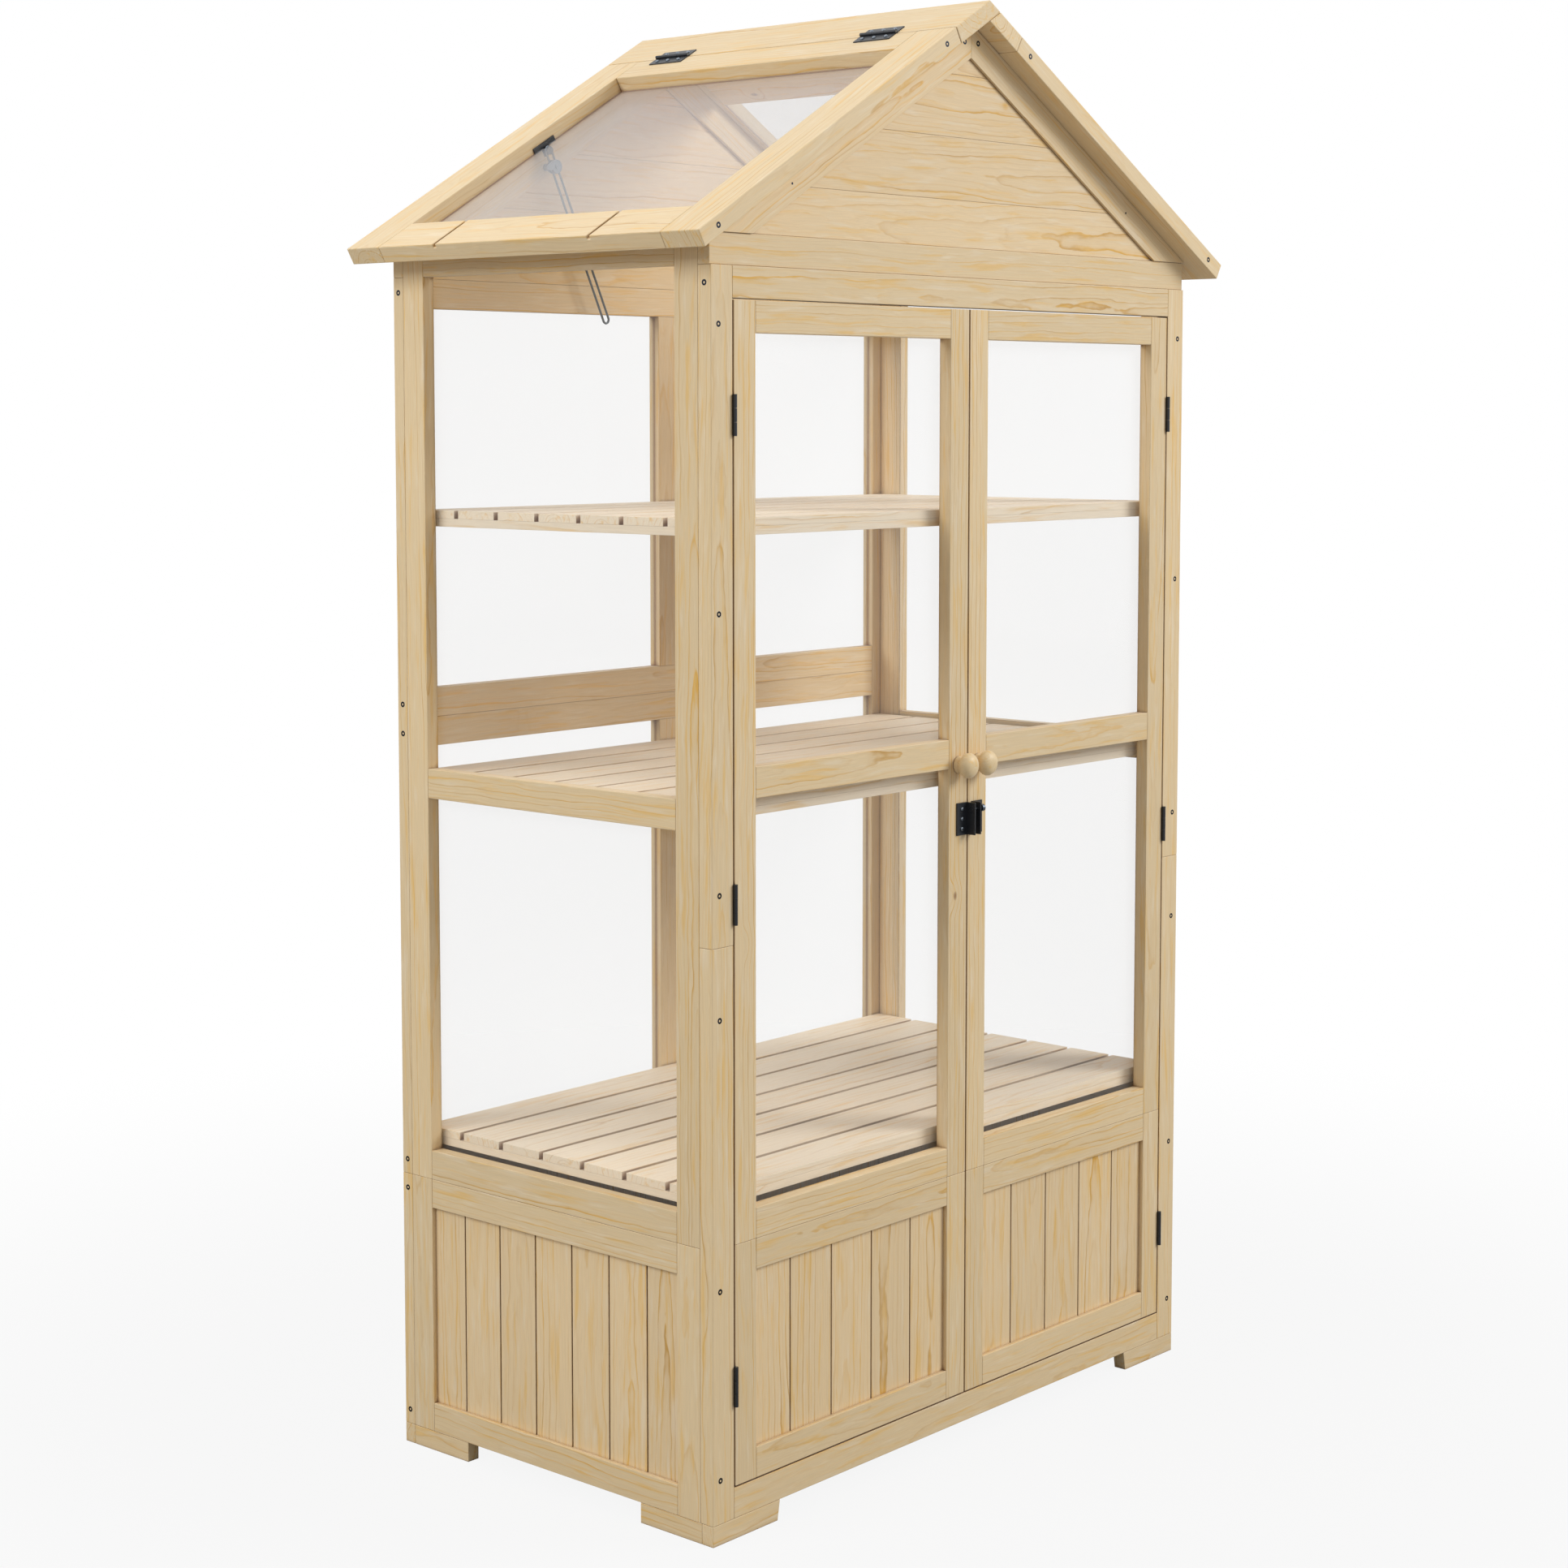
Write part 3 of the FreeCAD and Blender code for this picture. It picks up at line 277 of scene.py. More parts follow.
@dataclass(frozen=True)
class PlanedPine:
    """Planed, unfinished pine: pale earlywood, fine darker growth lines, yellow streaks, a dry sheen, and painted
    shade in its gaps and corners.
    """

    name: str
    early: str = "#e8cfa4"
    late: str = "#cc9e54"
    warm: str = "#edbb55"
    pale: str = "#f1e2c8"
    resin: str = "#e3ad40"
    knot: str = "#8f6238"
    # The brown of the painted shade in gaps, joints and inner corners
    crevice: str = "#7a4519"
    ring: float = 0.0034
    wander: float = 0.0136
    knotless: float = 0.83
    knot_bend: float = 2.2
    fibre: float = 0.0009
    relief: float = 0.0002
    # How far the painted shade reaches, the occlusion levels where it starts and is full, and its strongest share
    gap: float = 0.0065
    gap_starts: float = 0.70
    gap_full: float = 0.20
    gap_share: float = 0.9
    own_gaps: bool = False
    contrast: float = 1.15
    roughness: float = 0.55
    ior: float = 1.5
    sheen: float = 0.3
    sheen_roughness: float = 0.35

    def material(self) -> Material:
        """Builds the growth rings around each board's own pith, read from the board's grain attribute.

        Returns:
            The material.
        """
        material, add = blank(self.name)
        grain = add("Attribute", {"attribute_name": "grain"}).outputs["Vector"]
        tone = add("Attribute", {"attribute_name": "tone"}).outputs["Fac"]
        # Bends of the rings, about 50 mm across and 150 mm along the board
        bend = streaks(add, grain, (6.5, 20.0, 20.0), detail=4.0, roughness=0.55)
        centred = add("VectorMath", {"operation": "SUBTRACT", 0: bend.outputs["Color"], 1: (0.5, 0.5, 0.5)})
        bent = add("VectorMath", {"operation": "MULTIPLY_ADD", 0: centred, 1: (0.0, self.wander, self.wander),
                                  2: grain})
        # Knots: a few round cores of about 5 mm, with the rings bent around them
        knot_map = add("Mapping", {"Vector": bent, "Scale": (11.0, 19.0, 2.0)})
        cells = add("TexVoronoi", {"feature": "F1", "Vector": knot_map, "Scale": 1.0})
        pick = add("Math", {"operation": "GREATER_THAN", 0: cells.outputs["Color"], 1: self.knotless})
        near = add("MapRange", {**SMOOTH, "Value": cells, "From Min": 0.30, "From Max": 0.03})
        swell = add("Math", {"operation": "MULTIPLY", 0: near, 1: pick})
        core = add("MapRange", {**SMOOTH, "Value": cells, "From Min": 0.075, "From Max": 0.03, "To Max": 0.8})
        knot_share = add("Math", {"operation": "MULTIPLY", 0: core, 1: pick})
        # Rings: the distance from the pith, counted in years
        flat = add("VectorMath", {"operation": "MULTIPLY", 0: bent, 1: (0.0, 1.0, 1.0)})
        reach = add("VectorMath", {"operation": "LENGTH", 0: flat})
        pushed = add("Math", {"operation": "MULTIPLY_ADD", 0: swell, 1: self.ring * self.knot_bend, 2: reach})
        years = add("Math", {"operation": "DIVIDE", 0: pushed, 1: self.ring})
        year = add("Math", {"operation": "FLOOR", 0: years})
        strength = add("TexWhiteNoise", {"noise_dimensions": "1D", "W": year})
        season = add("Math", {"operation": "FRACT", 0: years})
        ramp = add("ValToRGB", {"Fac": season})
        stops = ramp.color_ramp.elements
        for stop in stops:
            stop.color = (0.0, 0.0, 0.0, 1.0)
        for position, value in ((0.45, 0.03), (0.70, 0.20), (0.84, 0.66), (0.90, 1.0), (0.95, 0.72)):
            stops.new(position).color = (value, value, value, 1.0)
        # Most years leave a faint line, and one in four a strong one
        weight = add("MapRange", {"interpolation_type": "SMOOTHERSTEP", "Value": strength, "From Min": 0.45,
                                  "From Max": 1.0, "To Min": 0.16, "To Max": 1.0})
        late = add("Math", {"operation": "MULTIPLY", 0: ramp, 1: weight})
        # The lines come and go over a hand's width
        broad = streaks(add, grain, (5.0, 38.0, 38.0))
        patch = add("MapRange", {"Value": broad, "From Min": 0.32, "From Max": 0.68, "To Min": 0.25,
                                 "To Max": 1.2})
        amount = add("Math", {"operation": "MULTIPLY", 0: late, 1: patch})
        shown = add("Math", {"operation": "MULTIPLY", "use_clamp": True, 0: amount, 1: self.contrast})
        # Where the resin is rich, a line is yellow instead of brown
        rich = add("MapRange", {"Value": bend, "From Min": 0.42, "From Max": 0.56})
        line = add("Mix", {**BLEND, "Factor": rich, "A": linear(self.late), "B": linear(self.resin)})
        wood = add("Mix", {**BLEND, "Factor": shown, "A": linear(self.early), "B": line})
        # Yellow streaks of resin, 6 mm wide and 100 mm long, that follow the bent grain
        warm = streaks(add, bent, (10.0, 160.0, 160.0))
        # Pale flecks where a line has been planed away
        pale = streaks(add, bent, (16.0, 180.0, 180.0), detail=2.0, start=(7.3, 1.7, 3.1))
        for noise, low, high, most, over in ((warm, 0.52, 0.72, 0.5, self.warm), (pale, 0.54, 0.74, 0.4, self.pale)):
            share = add("MapRange", {**SMOOTH, "Value": noise, "From Min": low, "From Max": high, "To Max": most})
            wood = add("Mix", {**BLEND, "Factor": share, "A": wood, "B": linear(over)})
        wood = add("Mix", {**BLEND, "Factor": knot_share, "A": wood, "B": linear(self.knot)})
        # Fibres of 0.9 mm, drawn coarser than real ones so that they show
        fibres = streaks(add, bent, (14.0, 1 / self.fibre, 1 / self.fibre))
        shade = add("MapRange", {"Value": fibres, "From Min": 0.25, "From Max": 0.75, "To Min": 0.94,
                                 "To Max": 1.05})
        value = add("Math", {"operation": "MULTIPLY", 0: shade, 1: tone})
        toned = add("HueSaturation", {"Value": value, "Color": wood})
        height = add("Math", {"operation": "MULTIPLY_ADD", 0: fibres, 1: 0.5, 2: late})
        bump = add("Bump", {"Strength": 0.25, "Distance": self.relief, "Height": height})
        # Painted shade: ambient occlusion darkens gaps, joints and inner corners a few millimetres wide towards a
        # brown
        corner = add("AmbientOcclusion", {"samples": 5, "only_local": self.own_gaps, "Distance": self.gap})
        # A face that a clear pane lies against gets no painted shade: the pane would darken it fully, yet it is seen
        # through the pane
        covered = add("Attribute", {"attribute_name": "behind_pane"}).outputs["Fac"]
        painted_shade_share = add("Math", {"operation": "MULTIPLY_ADD", 0: covered, 1: -self.gap_share, 2: self.gap_share})
        deep = add("MapRange", {**SMOOTH, "Value": corner.outputs["AO"], "From Min": self.gap_starts,
                                "From Max": self.gap_full, "To Max": painted_shade_share})
        crevice_shaded = add("Mix", {**BLEND, "Factor": deep, "A": toned, "B": linear(self.crevice)})
        surface = add("BsdfPrincipled", {
            "Base Color": crevice_shaded, "Roughness": self.roughness, "IOR": self.ior, "Sheen Weight": self.sheen,
            "Sheen Roughness": self.sheen_roughness, "Normal": bump})
        add("OutputMaterial", {"Surface": surface})
        return material


@dataclass(frozen=True)
class ClearSheet:
    """Clear acrylic sheet: nearly invisible face on, with a soft white veil as the view gets flatter."""

    name: str
    veil: float
    grazing: float
    tint: str = "#fbfcfc"
    through: str = "#fefefe"
    roughness: float = 0.04
    ior: float = 1.49
    steepness: float = 3.0

    def material(self) -> Material:
        """Mixes a clear shader with a glossy pale one by the sheet's own facing.

        Returns:
            The material.
        """
        material, add = blank(self.name)
        facing = add("LayerWeight", {"Blend": 0.5}).outputs["Facing"]
        curve = add("Math", {"operation": "POWER", 0: facing, 1: self.steepness})
        share = add("MapRange", {"Value": curve, "To Min": self.veil, "To Max": self.grazing})
        clear = add("BsdfTransparent", {"Color": linear(self.through)})
        sheet = add("BsdfPrincipled", {"Base Color": linear(self.tint), "Roughness": self.roughness,
                                       "IOR": self.ior})
        mixed = add("MixShader", {0: share, 1: clear, 2: sheet})
        # Lamps shine through the sheet, so that it throws no shadow of its own
        path = add("LightPath", {}).outputs["Is Shadow Ray"]
        surface = add("MixShader", {0: path, 1: mixed, 2: clear})
        add("OutputMaterial", {"Surface": surface})
        return material


@dataclass(frozen=True)
class Steel:
    """Sheet or rod steel, painted or plated, with a faint unevenness in its sheen."""

    name: str
    colour: str
    metallic: float
    roughness: float
    grit: float = 0.002

    def material(self) -> Material:
        """Builds the coated steel with a sheen that varies over a couple of millimetres.

        Returns:
            The material.
        """
        material, add = blank(self.name)
        place = add("TexCoord", {}).outputs["Object"]
        cloud = add("TexNoise", {"Vector": place, "Scale": 1 / self.grit, "Detail": 2.0})
        sheen = add("MapRange", {"Value": cloud, "To Min": self.roughness * 0.8, "To Max": self.roughness * 1.2})
        surface = add("BsdfPrincipled", {"Base Color": linear(self.colour), "Metallic": self.metallic,
                                         "Roughness": sheen})
        add("OutputMaterial", {"Surface": surface})
        return material


@dataclass
class Finishes:
    """One material for each of the record's material slots."""

    made: ClassVar[Dict[str, Material]] = {}

    def build(self) -> None:
        """Makes every material once."""
        finishes = {
            # Planed pine, dry and unvarnished: matte, with amber growth lines
            "frame_wood": PlanedPine("planed_pine_bars"),
            # Planed pine in matched boards: the same wood, with wider flat-sawn figure
            "board_wood": PlanedPine("planed_pine_matched_boards", early="#edd2a6", ring=0.0040, contrast=1.3),
            # Planed pine slats: painted a little paler than the bars, as painted light for the shelves inside the
            # cabinet; their painted shade is lighter and comes from the slats alone
            "shelf_wood": PlanedPine("planed_pine_slats", early="#f7e6cb", late="#d6b07a", crevice="#8f6236",
                                     gap=0.016, gap_starts=0.80, gap_full=0.38, own_gaps=True, contrast=0.8),
            # Turned and sanded pine: smoother than the bars, so its sheen is a little tighter
            "turned_wood": PlanedPine("turned_pine", early="#ead0a2", ring=0.0024, contrast=0.5, roughness=0.42),
            # Clear acrylic sheet, cast smooth: a faint pale veil over what stands behind it
            "glass": ClearSheet("clear_acrylic_sheet", 0.03, 0.40),
            # The roof's acrylic sheet, weathered a little: milky where it is seen at a low angle
            "roof_glass": ClearSheet("hazy_acrylic_sheet", 0.19, 0.30, tint="#eaecf1", roughness=0.15),
            # Mild steel, pressed and painted black: satin, with soft highlights along its edges
            "black_steel": Steel("black_painted_steel", "#23262b", 0.0, 0.34),
            # Steel rod and plate, zinc plated and dulled: mid grey with a soft blur in its highlights
            "bright_steel": Steel("zinc_plated_steel", "#6f767e", 1.0, 0.30),
            # Hardened steel screws, blackened: small dark heads with a blue-grey sheen
            "screws": Steel("blackened_screw_steel", "#292d36", 1.0, 0.34),
        }
        for slot, finish in finishes.items():
            self.made[slot] = finish.material()
            log.info("finish %s for %s", finish.name, slot)


def place_piece(name: str, mesh: Mesh, node: str, slot: Optional[str] = None) -> None:
    """Puts a finished mesh in the scene in the place of a node, or on it.

    Args:
        name: The piece's name.
        mesh: Its mesh, in the frame's own coordinates.
        node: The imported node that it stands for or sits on, and whose body it rides on.
        slot: The material slot of a piece that sits on the node, or None for one that stands for it.
    """
    piece = add_object(name, mesh)
    dress(piece, Finishes.made[slot or NODE_SLOT[node]])
    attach(piece, NODE_BODY[node])
    if slot is None:
        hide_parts(node)
    log.info("piece %s %s %s", name, "on" if slot else "for", node)


def write_mesh(name: str, shape: BMesh) -> Mesh:
    """Writes a shape into a new mesh, and frees it."""
    mesh = bpy.data.meshes.new(name)
    shape.to_mesh(mesh)
    shape.free()
    return mesh


def gather(whole: BMesh, solid: BMesh) -> None:
    """Adds one finished solid to a piece made of several, and frees it."""
    draft = write_mesh("draft", solid)
    whole.from_mesh(draft)
    bpy.data.meshes.remove(draft)


@dataclass(frozen=True)
class Pith:
    """How far a board's pith lies from its middle, at least and at most."""

    across: Spot
    through: Spot


QUARTER_SAWN = Pith(across=(0.035, 0.09), through=(0.01, 0.04))
FLAT_SAWN = Pith(across=(0.0, 0.012), through=(0.012, 0.045))


@dataclass
class Timber:
    """A piece of woodwork made of separate bars and boards with eased edges."""

    node: str
    place: Matrix = field(default_factory=lambda: Matrix.Identity(4))
    ease: float = 0.0007
    straight_share: float = 0.55
    pane_face: Optional[Tuple[int, float]] = None
    spread: float = 40.0
    lean: Spot = (0.012, 0.03)
    tone_range: Spot = (0.955, 1.035)

    def __post_init__(self) -> None:
        """Starts an empty mesh and the piece's own random draws."""
        self.shape = bmesh.new()
        self.grains: List[float] = []
        self.tones: List[float] = []
        self.behind_panes: List[float] = []
        self.draws = random.Random(self.node)

    def bar(self, low: Point, high: Point, grain: Grain) -> None:
        """A straight bar between two corners, its fibres along one of the frame's axes."""
        solid = bmesh.new()
        middle = (Vector(low) + Vector(high)) / 2
        bmesh.ops.create_cube(solid, size=1.0)
        bmesh.ops.scale(solid, vec=Vector(high) - Vector(low), verts=solid.verts)
        bmesh.ops.translate(solid, vec=middle, verts=solid.verts)
        self.keep(solid, AXES[grain.value], self.ease)

    def prism(self, corners: Sequence[Point], push: Point, along: Vector, ease: Optional[float] = None) -> None:
        """A board with a drawn end or side, pushed straight through.

        Args:
            corners: The outline's corners, in order.
            push: How far and which way the outline is pushed.
            along: The way that the fibres run.
            ease: The bevel of its edges, or None for the piece's own.
        """
        solid = bmesh.new()
        outline = solid.faces.new([solid.verts.new(corner) for corner in corners])
        pushed = bmesh.ops.extrude_face_region(solid, geom=[outline])["geom"]
        moved = [item for item in pushed if isinstance(item, BMVert)]
        bmesh.ops.translate(solid, vec=push, verts=moved)
        bmesh.ops.recalc_face_normals(solid, faces=solid.faces)
        self.keep(solid, along.normalized(), self.ease if ease is None else ease)

    def keep(self, solid: BMesh, along: Vector, ease: float) -> None:
        """Eases a board's edges, gives it its own grain and tone, and adds it to the piece.

        Args:
            solid: The board, in the piece's own place.
            along: The way that its fibres run.
            ease: The bevel of its edges.
        """
        if ease:
            bmesh.ops.bevel(solid, geom=solid.edges[:], offset=ease, segments=2, profile=0.5, affect="EDGES",
                            material=-1, clamp_overlap=True)
        spots = [vert.co.copy() for vert in solid.verts]
        # The first axis that the board doesn't run along
        aside = next(axis for axis in AXES if abs(axis.dot(along)) < 0.6)
        across = (aside - along * aside.dot(along)).normalized()
        through = along.cross(across)
        reach = [max(spot.dot(axis) for spot in spots) - min(spot.dot(axis) for spot in spots)
                 for axis in (across, through)]
        if reach[0] < reach[1]:
            across, through = through, across
        middle = sum(spots, Vector()) / len(spots)
        draws = self.draws
        start = draws.uniform(-self.spread, self.spread)
        pith = QUARTER_SAWN if draws.random() < self.straight_share else FLAT_SAWN
        pith_across = draws.choice((-1, 1)) * draws.uniform(*pith.across)
        pith_through = draws.uniform(*pith.through)
        lean_across, lean_through = (draws.uniform(-most, most) for most in self.lean)
        tone = draws.uniform(*self.tone_range)
        axis, height = self.pane_face or (0, math.inf)
        for spot in spots:
            away = spot - middle
            run = away.dot(along)
            self.grains += [start + run, away.dot(across) + pith_across + lean_across * run,
                            away.dot(through) + pith_through + lean_through * run]
            self.tones.append(tone)
            self.behind_panes.append(float(abs(spot[axis] - height) < TOUCHING))
        bmesh.ops.transform(solid, matrix=self.place, verts=solid.verts)
        gather(self.shape, solid)

    def finish(self) -> None:
        """Writes the mesh with its attributes and puts it in the node's place."""
        mesh = write_mesh(self.node + "_timber", self.shape)
        mesh.attributes.new("grain", "FLOAT_VECTOR", "POINT").data.foreach_set("vector", self.grains)
        for name, values in (("tone", self.tones), ("behind_pane", self.behind_panes)):
            mesh.attributes.new(name, "FLOAT", "POINT").data.foreach_set("value", values)
        place_piece(self.node + "_timber", mesh, self.node)


def lay_boards(node: str, count: int, run: Spot, levels: Spot, face: float, inward: int, way: Grain) -> None:
    """Makes a field of upright boards side by side, with a small V between their shown faces.

    Args:
        node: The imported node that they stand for.
        count: How many boards there are.
        run: Start and end of the opening that they fill, which they overlap by their tongues.
        levels: Its bottom and top.
        face: The outer face of the frame that the boards stand back from.
        inward: 1 or -1, the way from the shown face to the hidden one.
        way: The way that the field runs.
    """
    timber = Timber(node, straight_share=0.4)
    start, end = run[0] - BODY.board_tongue, run[1] + BODY.board_tongue
    bottom, top = levels[0] - BODY.board_tongue, levels[1] + BODY.board_tongue
    shown = face + inward * BODY.board_recess
    hidden = shown + inward * BODY.board_stock
    deep, shallow = shown + inward * BODY.seam_depth, shown + inward * BODY.chamfer_depth
    width = (end - start) / count
    for board in range(count):
        left = start + board * width
        right = left + width
        left_lip, right_lip = left + BODY.seam, right - BODY.seam
        pairs = [(left, deep), (left_lip, deep), (left_lip, shallow), (left_lip + BODY.chamfer, shown),
                 (right_lip - BODY.chamfer, shown), (right_lip, shallow), (right_lip, deep), (right, deep),
                 (right, hidden), (left, hidden)]
        corners = [(depth, run, bottom) if way is Grain.Y else (run, depth, bottom) for run, depth in pairs]
        timber.prism(corners, (0.0, 0.0, top - bottom), UPWARD, 0.0)
    timber.finish()


def lay_bars(node: str, bars: Sequence[Tuple[Point, Point, Grain]]) -> None:
    """Makes a piece of straight bars, each with its two corners and the way that its fibres run."""
    timber = Timber(node)
    for low, high, grain in bars:
        timber.bar(low, high, grain)
    timber.finish()


def lay_crossbar(node: str, half: float, depths: Spot, levels: Spot) -> None:
    """Makes a piece of one level bar that reaches as far to the left as to the right."""
    lay_bars(node, [((-half, depths[0], levels[0]), (half, depths[1], levels[1]), Grain.X)])


def lay_posts(end: End, width: float, depths: Spot, joint: float) -> None:
    """Makes a wall's two posts, each in two lengths.

    Args:
        end: The wall.
        width: How wide a post is.
        depths: Its front and its back.
        joint: The height where the lengths meet.
    """
    for side in Side:
        low, high = side.span(BODY.half_width - width, BODY.half_width)
        lay_bars(f"{end.word}_post_{side.word}", [
            ((low, depths[0], bottom), (high, depths[1], top), Grain.Z)
            for bottom, top in ((BODY.foot_height, joint), (joint, BODY.header_top))])


@dataclass
class BoardedFrame:
    """A boarded frame below a glazed one, as the sides and the doors have."""

    name: str
    way: Grain
    face: float
    inward: int
    run: Spot
    levels: Point
    boards: int

    def build(self) -> None:
        """Makes the bars and the boards."""
        rail, joint = BODY.rail, BODY.section_joint
        start, end = self.run
        foot, middle, head = self.levels
        inner = self.face + self.inward * BODY.stock
        bars = Timber(self.name + "_frame", pane_face=(0 if self.way is Grain.Y else 1, inner))
        lower = [(foot, foot + rail), (joint - rail, joint)]
        upper = [(joint, joint + rail), (middle, middle + rail), (head - rail, head)]
        for levels in (lower, upper):
            bottom, top = levels[0][0], levels[-1][1]
            spans = [(near, near + rail, bottom, top, Grain.Z) for near in (start, end - rail)]
            spans += [(start + rail, end - rail, low, high, self.way) for low, high in levels]
            for near, far, low, high, grain in spans:
                corners = [(near, min(self.face, inner), low), (far, max(self.face, inner), high)]
                if self.way is Grain.Y:
                    corners = [(depth, along, level) for along, depth, level in corners]
                bars.bar(corners[0], corners[1], grain)
        bars.finish()
        lay_boards(self.name + "_boards", self.boards, (start + rail, end - rail), (foot + rail, joint - rail),
                   self.face, self.inward, self.way)


@dataclass
class Feet:
    """Two corner feet at one end, each of two short boards set in an L."""

    end: End
    leg: float = 0.099
    taper: float = 0.0036

    def build(self) -> None:
        """Makes the four boards."""
        timber = Timber(f"feet_{self.end.word}")
        face = self.end.value * BODY.half_depth
        inner = face - self.end.value * BODY.stock
        tip = face - self.end.value * self.leg
        for side in Side:
            out = side.value * BODY.half_width
            cut = side.value * (BODY.half_width - self.leg)
            corners = [(out, face, 0.0), (cut + side.value * self.taper, face, 0.0),
                       (cut, face, BODY.foot_height), (out, face, BODY.foot_height)]
            timber.prism(corners, (0.0, inner - face, 0.0), AXES[0])
            low, high = side.span(BODY.half_width - BODY.stock, BODY.half_width)
            timber.bar((low, min(inner, tip), 0.0), (high, max(inner, tip), BODY.foot_height), Grain.Y)
        timber.finish()


@dataclass
class FrontWall:
    """Posts, sill, header and tie beam around the doors."""

    tie_recess: float = 0.002

    def build(self) -> None:
        """Makes the five pieces."""
        front = -BODY.half_depth
        back = front + BODY.post_stock
        inner = BODY.half_width - BODY.post_face
        lay_posts(End.FRONT, BODY.post_face, (front, back), BODY.post_joint)
        rail = (front, front + BODY.stock)
        lay_crossbar("front_sill", inner, rail, (BODY.foot_height, BODY.sill_top))
        lay_crossbar("front_header", inner, rail, (BODY.header_low, BODY.header_top))
        lay_crossbar("front_tie_beam", BODY.half_width, (front + self.tie_recess, back),
                     (BODY.header_top, BODY.wall_top))


@dataclass
class BackWall:
    """Posts, rails, mullions, matched boards and tie beam of the back."""

    mid_joint: float = 0.785
    boards: int = 12

    def build(self) -> None:
        """Makes the five pieces."""
        back = BODY.half_depth
        front = back - BODY.stock
        inner = BODY.half_width - BODY.rail
        lay_posts(End.BACK, BODY.rail, (front, back), BODY.section_joint)
        levels = [(BODY.foot_height, BODY.sill_top)]
        for joint in (BODY.section_joint, self.mid_joint):
            levels += [(joint - BODY.rail, joint), (joint, joint + BODY.rail)]
        levels.append((BODY.header_low, BODY.header_top))
        bars = [((-inner, front, bottom), (inner, back, top), Grain.X) for bottom, top in levels]
        bars += [((-BODY.rail / 2, front, bottom), (BODY.rail / 2, back, top), Grain.Z)
                 for (_, bottom), (top, _) in (levels[2:4], levels[4:6])]
        lay_bars("back_frame", bars)
        lay_boards("back_boards", self.boards, (-inner, inner), (BODY.sill_top, BODY.section_joint - BODY.rail),
                   back, -1, Grain.X)
        lay_crossbar("back_tie_beam", BODY.half_width, (front, back), (BODY.header_top, BODY.wall_top))


@dataclass
class SideWall:
    """A boarded frame with a glazed frame above it."""

    side: Side
    mid_rail: float = 0.704
    boards: int = 7

    def build(self) -> None:
        """Makes the bars and the boards."""
        flank = self.side.value
        run = (-BODY.half_depth + BODY.post_stock, BODY.half_depth - BODY.stock)
        BoardedFrame(f"side_{self.side.word}", Grain.Y, flank * BODY.half_width, -flank, run,
                     (BODY.foot_height, self.mid_rail, BODY.wall_top), self.boards).build()


@dataclass
class Door:
    """A door of a boarded frame below a glazed one, with its turned knob."""

    side: Side
    inner: float = 0.001
    outer: float = 0.3675
    levels: Point = (0.0535, 0.7335, 1.2155)
    boards: int = 5
    knob_out: float = 0.0164
    knob_height: float = 0.737
    knob_profile: Tuple[Spot, ...] = (
        (0.0, 0.0), (0.0090, 0.0), (0.0092, 0.0012), (0.0086, 0.0030), (0.0074, 0.0052), (0.0072, 0.0066),
        (0.0082, 0.0078), (0.0104, 0.0087), (0.0122, 0.0101), (0.0132, 0.0120), (0.0135, 0.0139),
        (0.0131, 0.0160), (0.0120, 0.0180), (0.0102, 0.0198), (0.0078, 0.0212), (0.0050, 0.0220),
        (0.0024, 0.0223), (0.0, 0.0223))

    def build(self) -> None:
        """Makes the bars, the boards and the knob."""
        BoardedFrame(f"door_{self.side.word}", Grain.X, -BODY.half_depth, 1,
                     self.side.span(self.inner, self.outer), self.levels, self.boards).build()
        self.build_knob()

    def build_knob(self) -> None:
        """Turns the knob: a small foot, a neck and a flattened round head."""
        knob = Timber(f"knob_{self.side.word}", straight_share=0.0)
        solid = bmesh.new()
        verts = [solid.verts.new((radius, -out, 0.0)) for radius, out in self.knob_profile]
        edges = [solid.edges.new(pair) for pair in zip(verts, verts[1:])]
        bmesh.ops.spin(solid, geom=verts + edges, cent=(0, 0, 0), axis=(0, 1, 0), dvec=(0, 0, 0),
                       angle=2 * math.pi, steps=48, use_merge=True, use_duplicate=False)
        bmesh.ops.remove_doubles(solid, verts=solid.verts, dist=1e-6)
        bmesh.ops.recalc_face_normals(solid, faces=solid.faces)
        for face in solid.faces:
            face.smooth = True
        spot = (self.side.value * self.knob_out, -BODY.half_depth, self.knob_height)
        bmesh.ops.translate(solid, vec=spot, verts=solid.verts)
        knob.keep(solid, BACKWARD, 0.0)
        knob.finish()


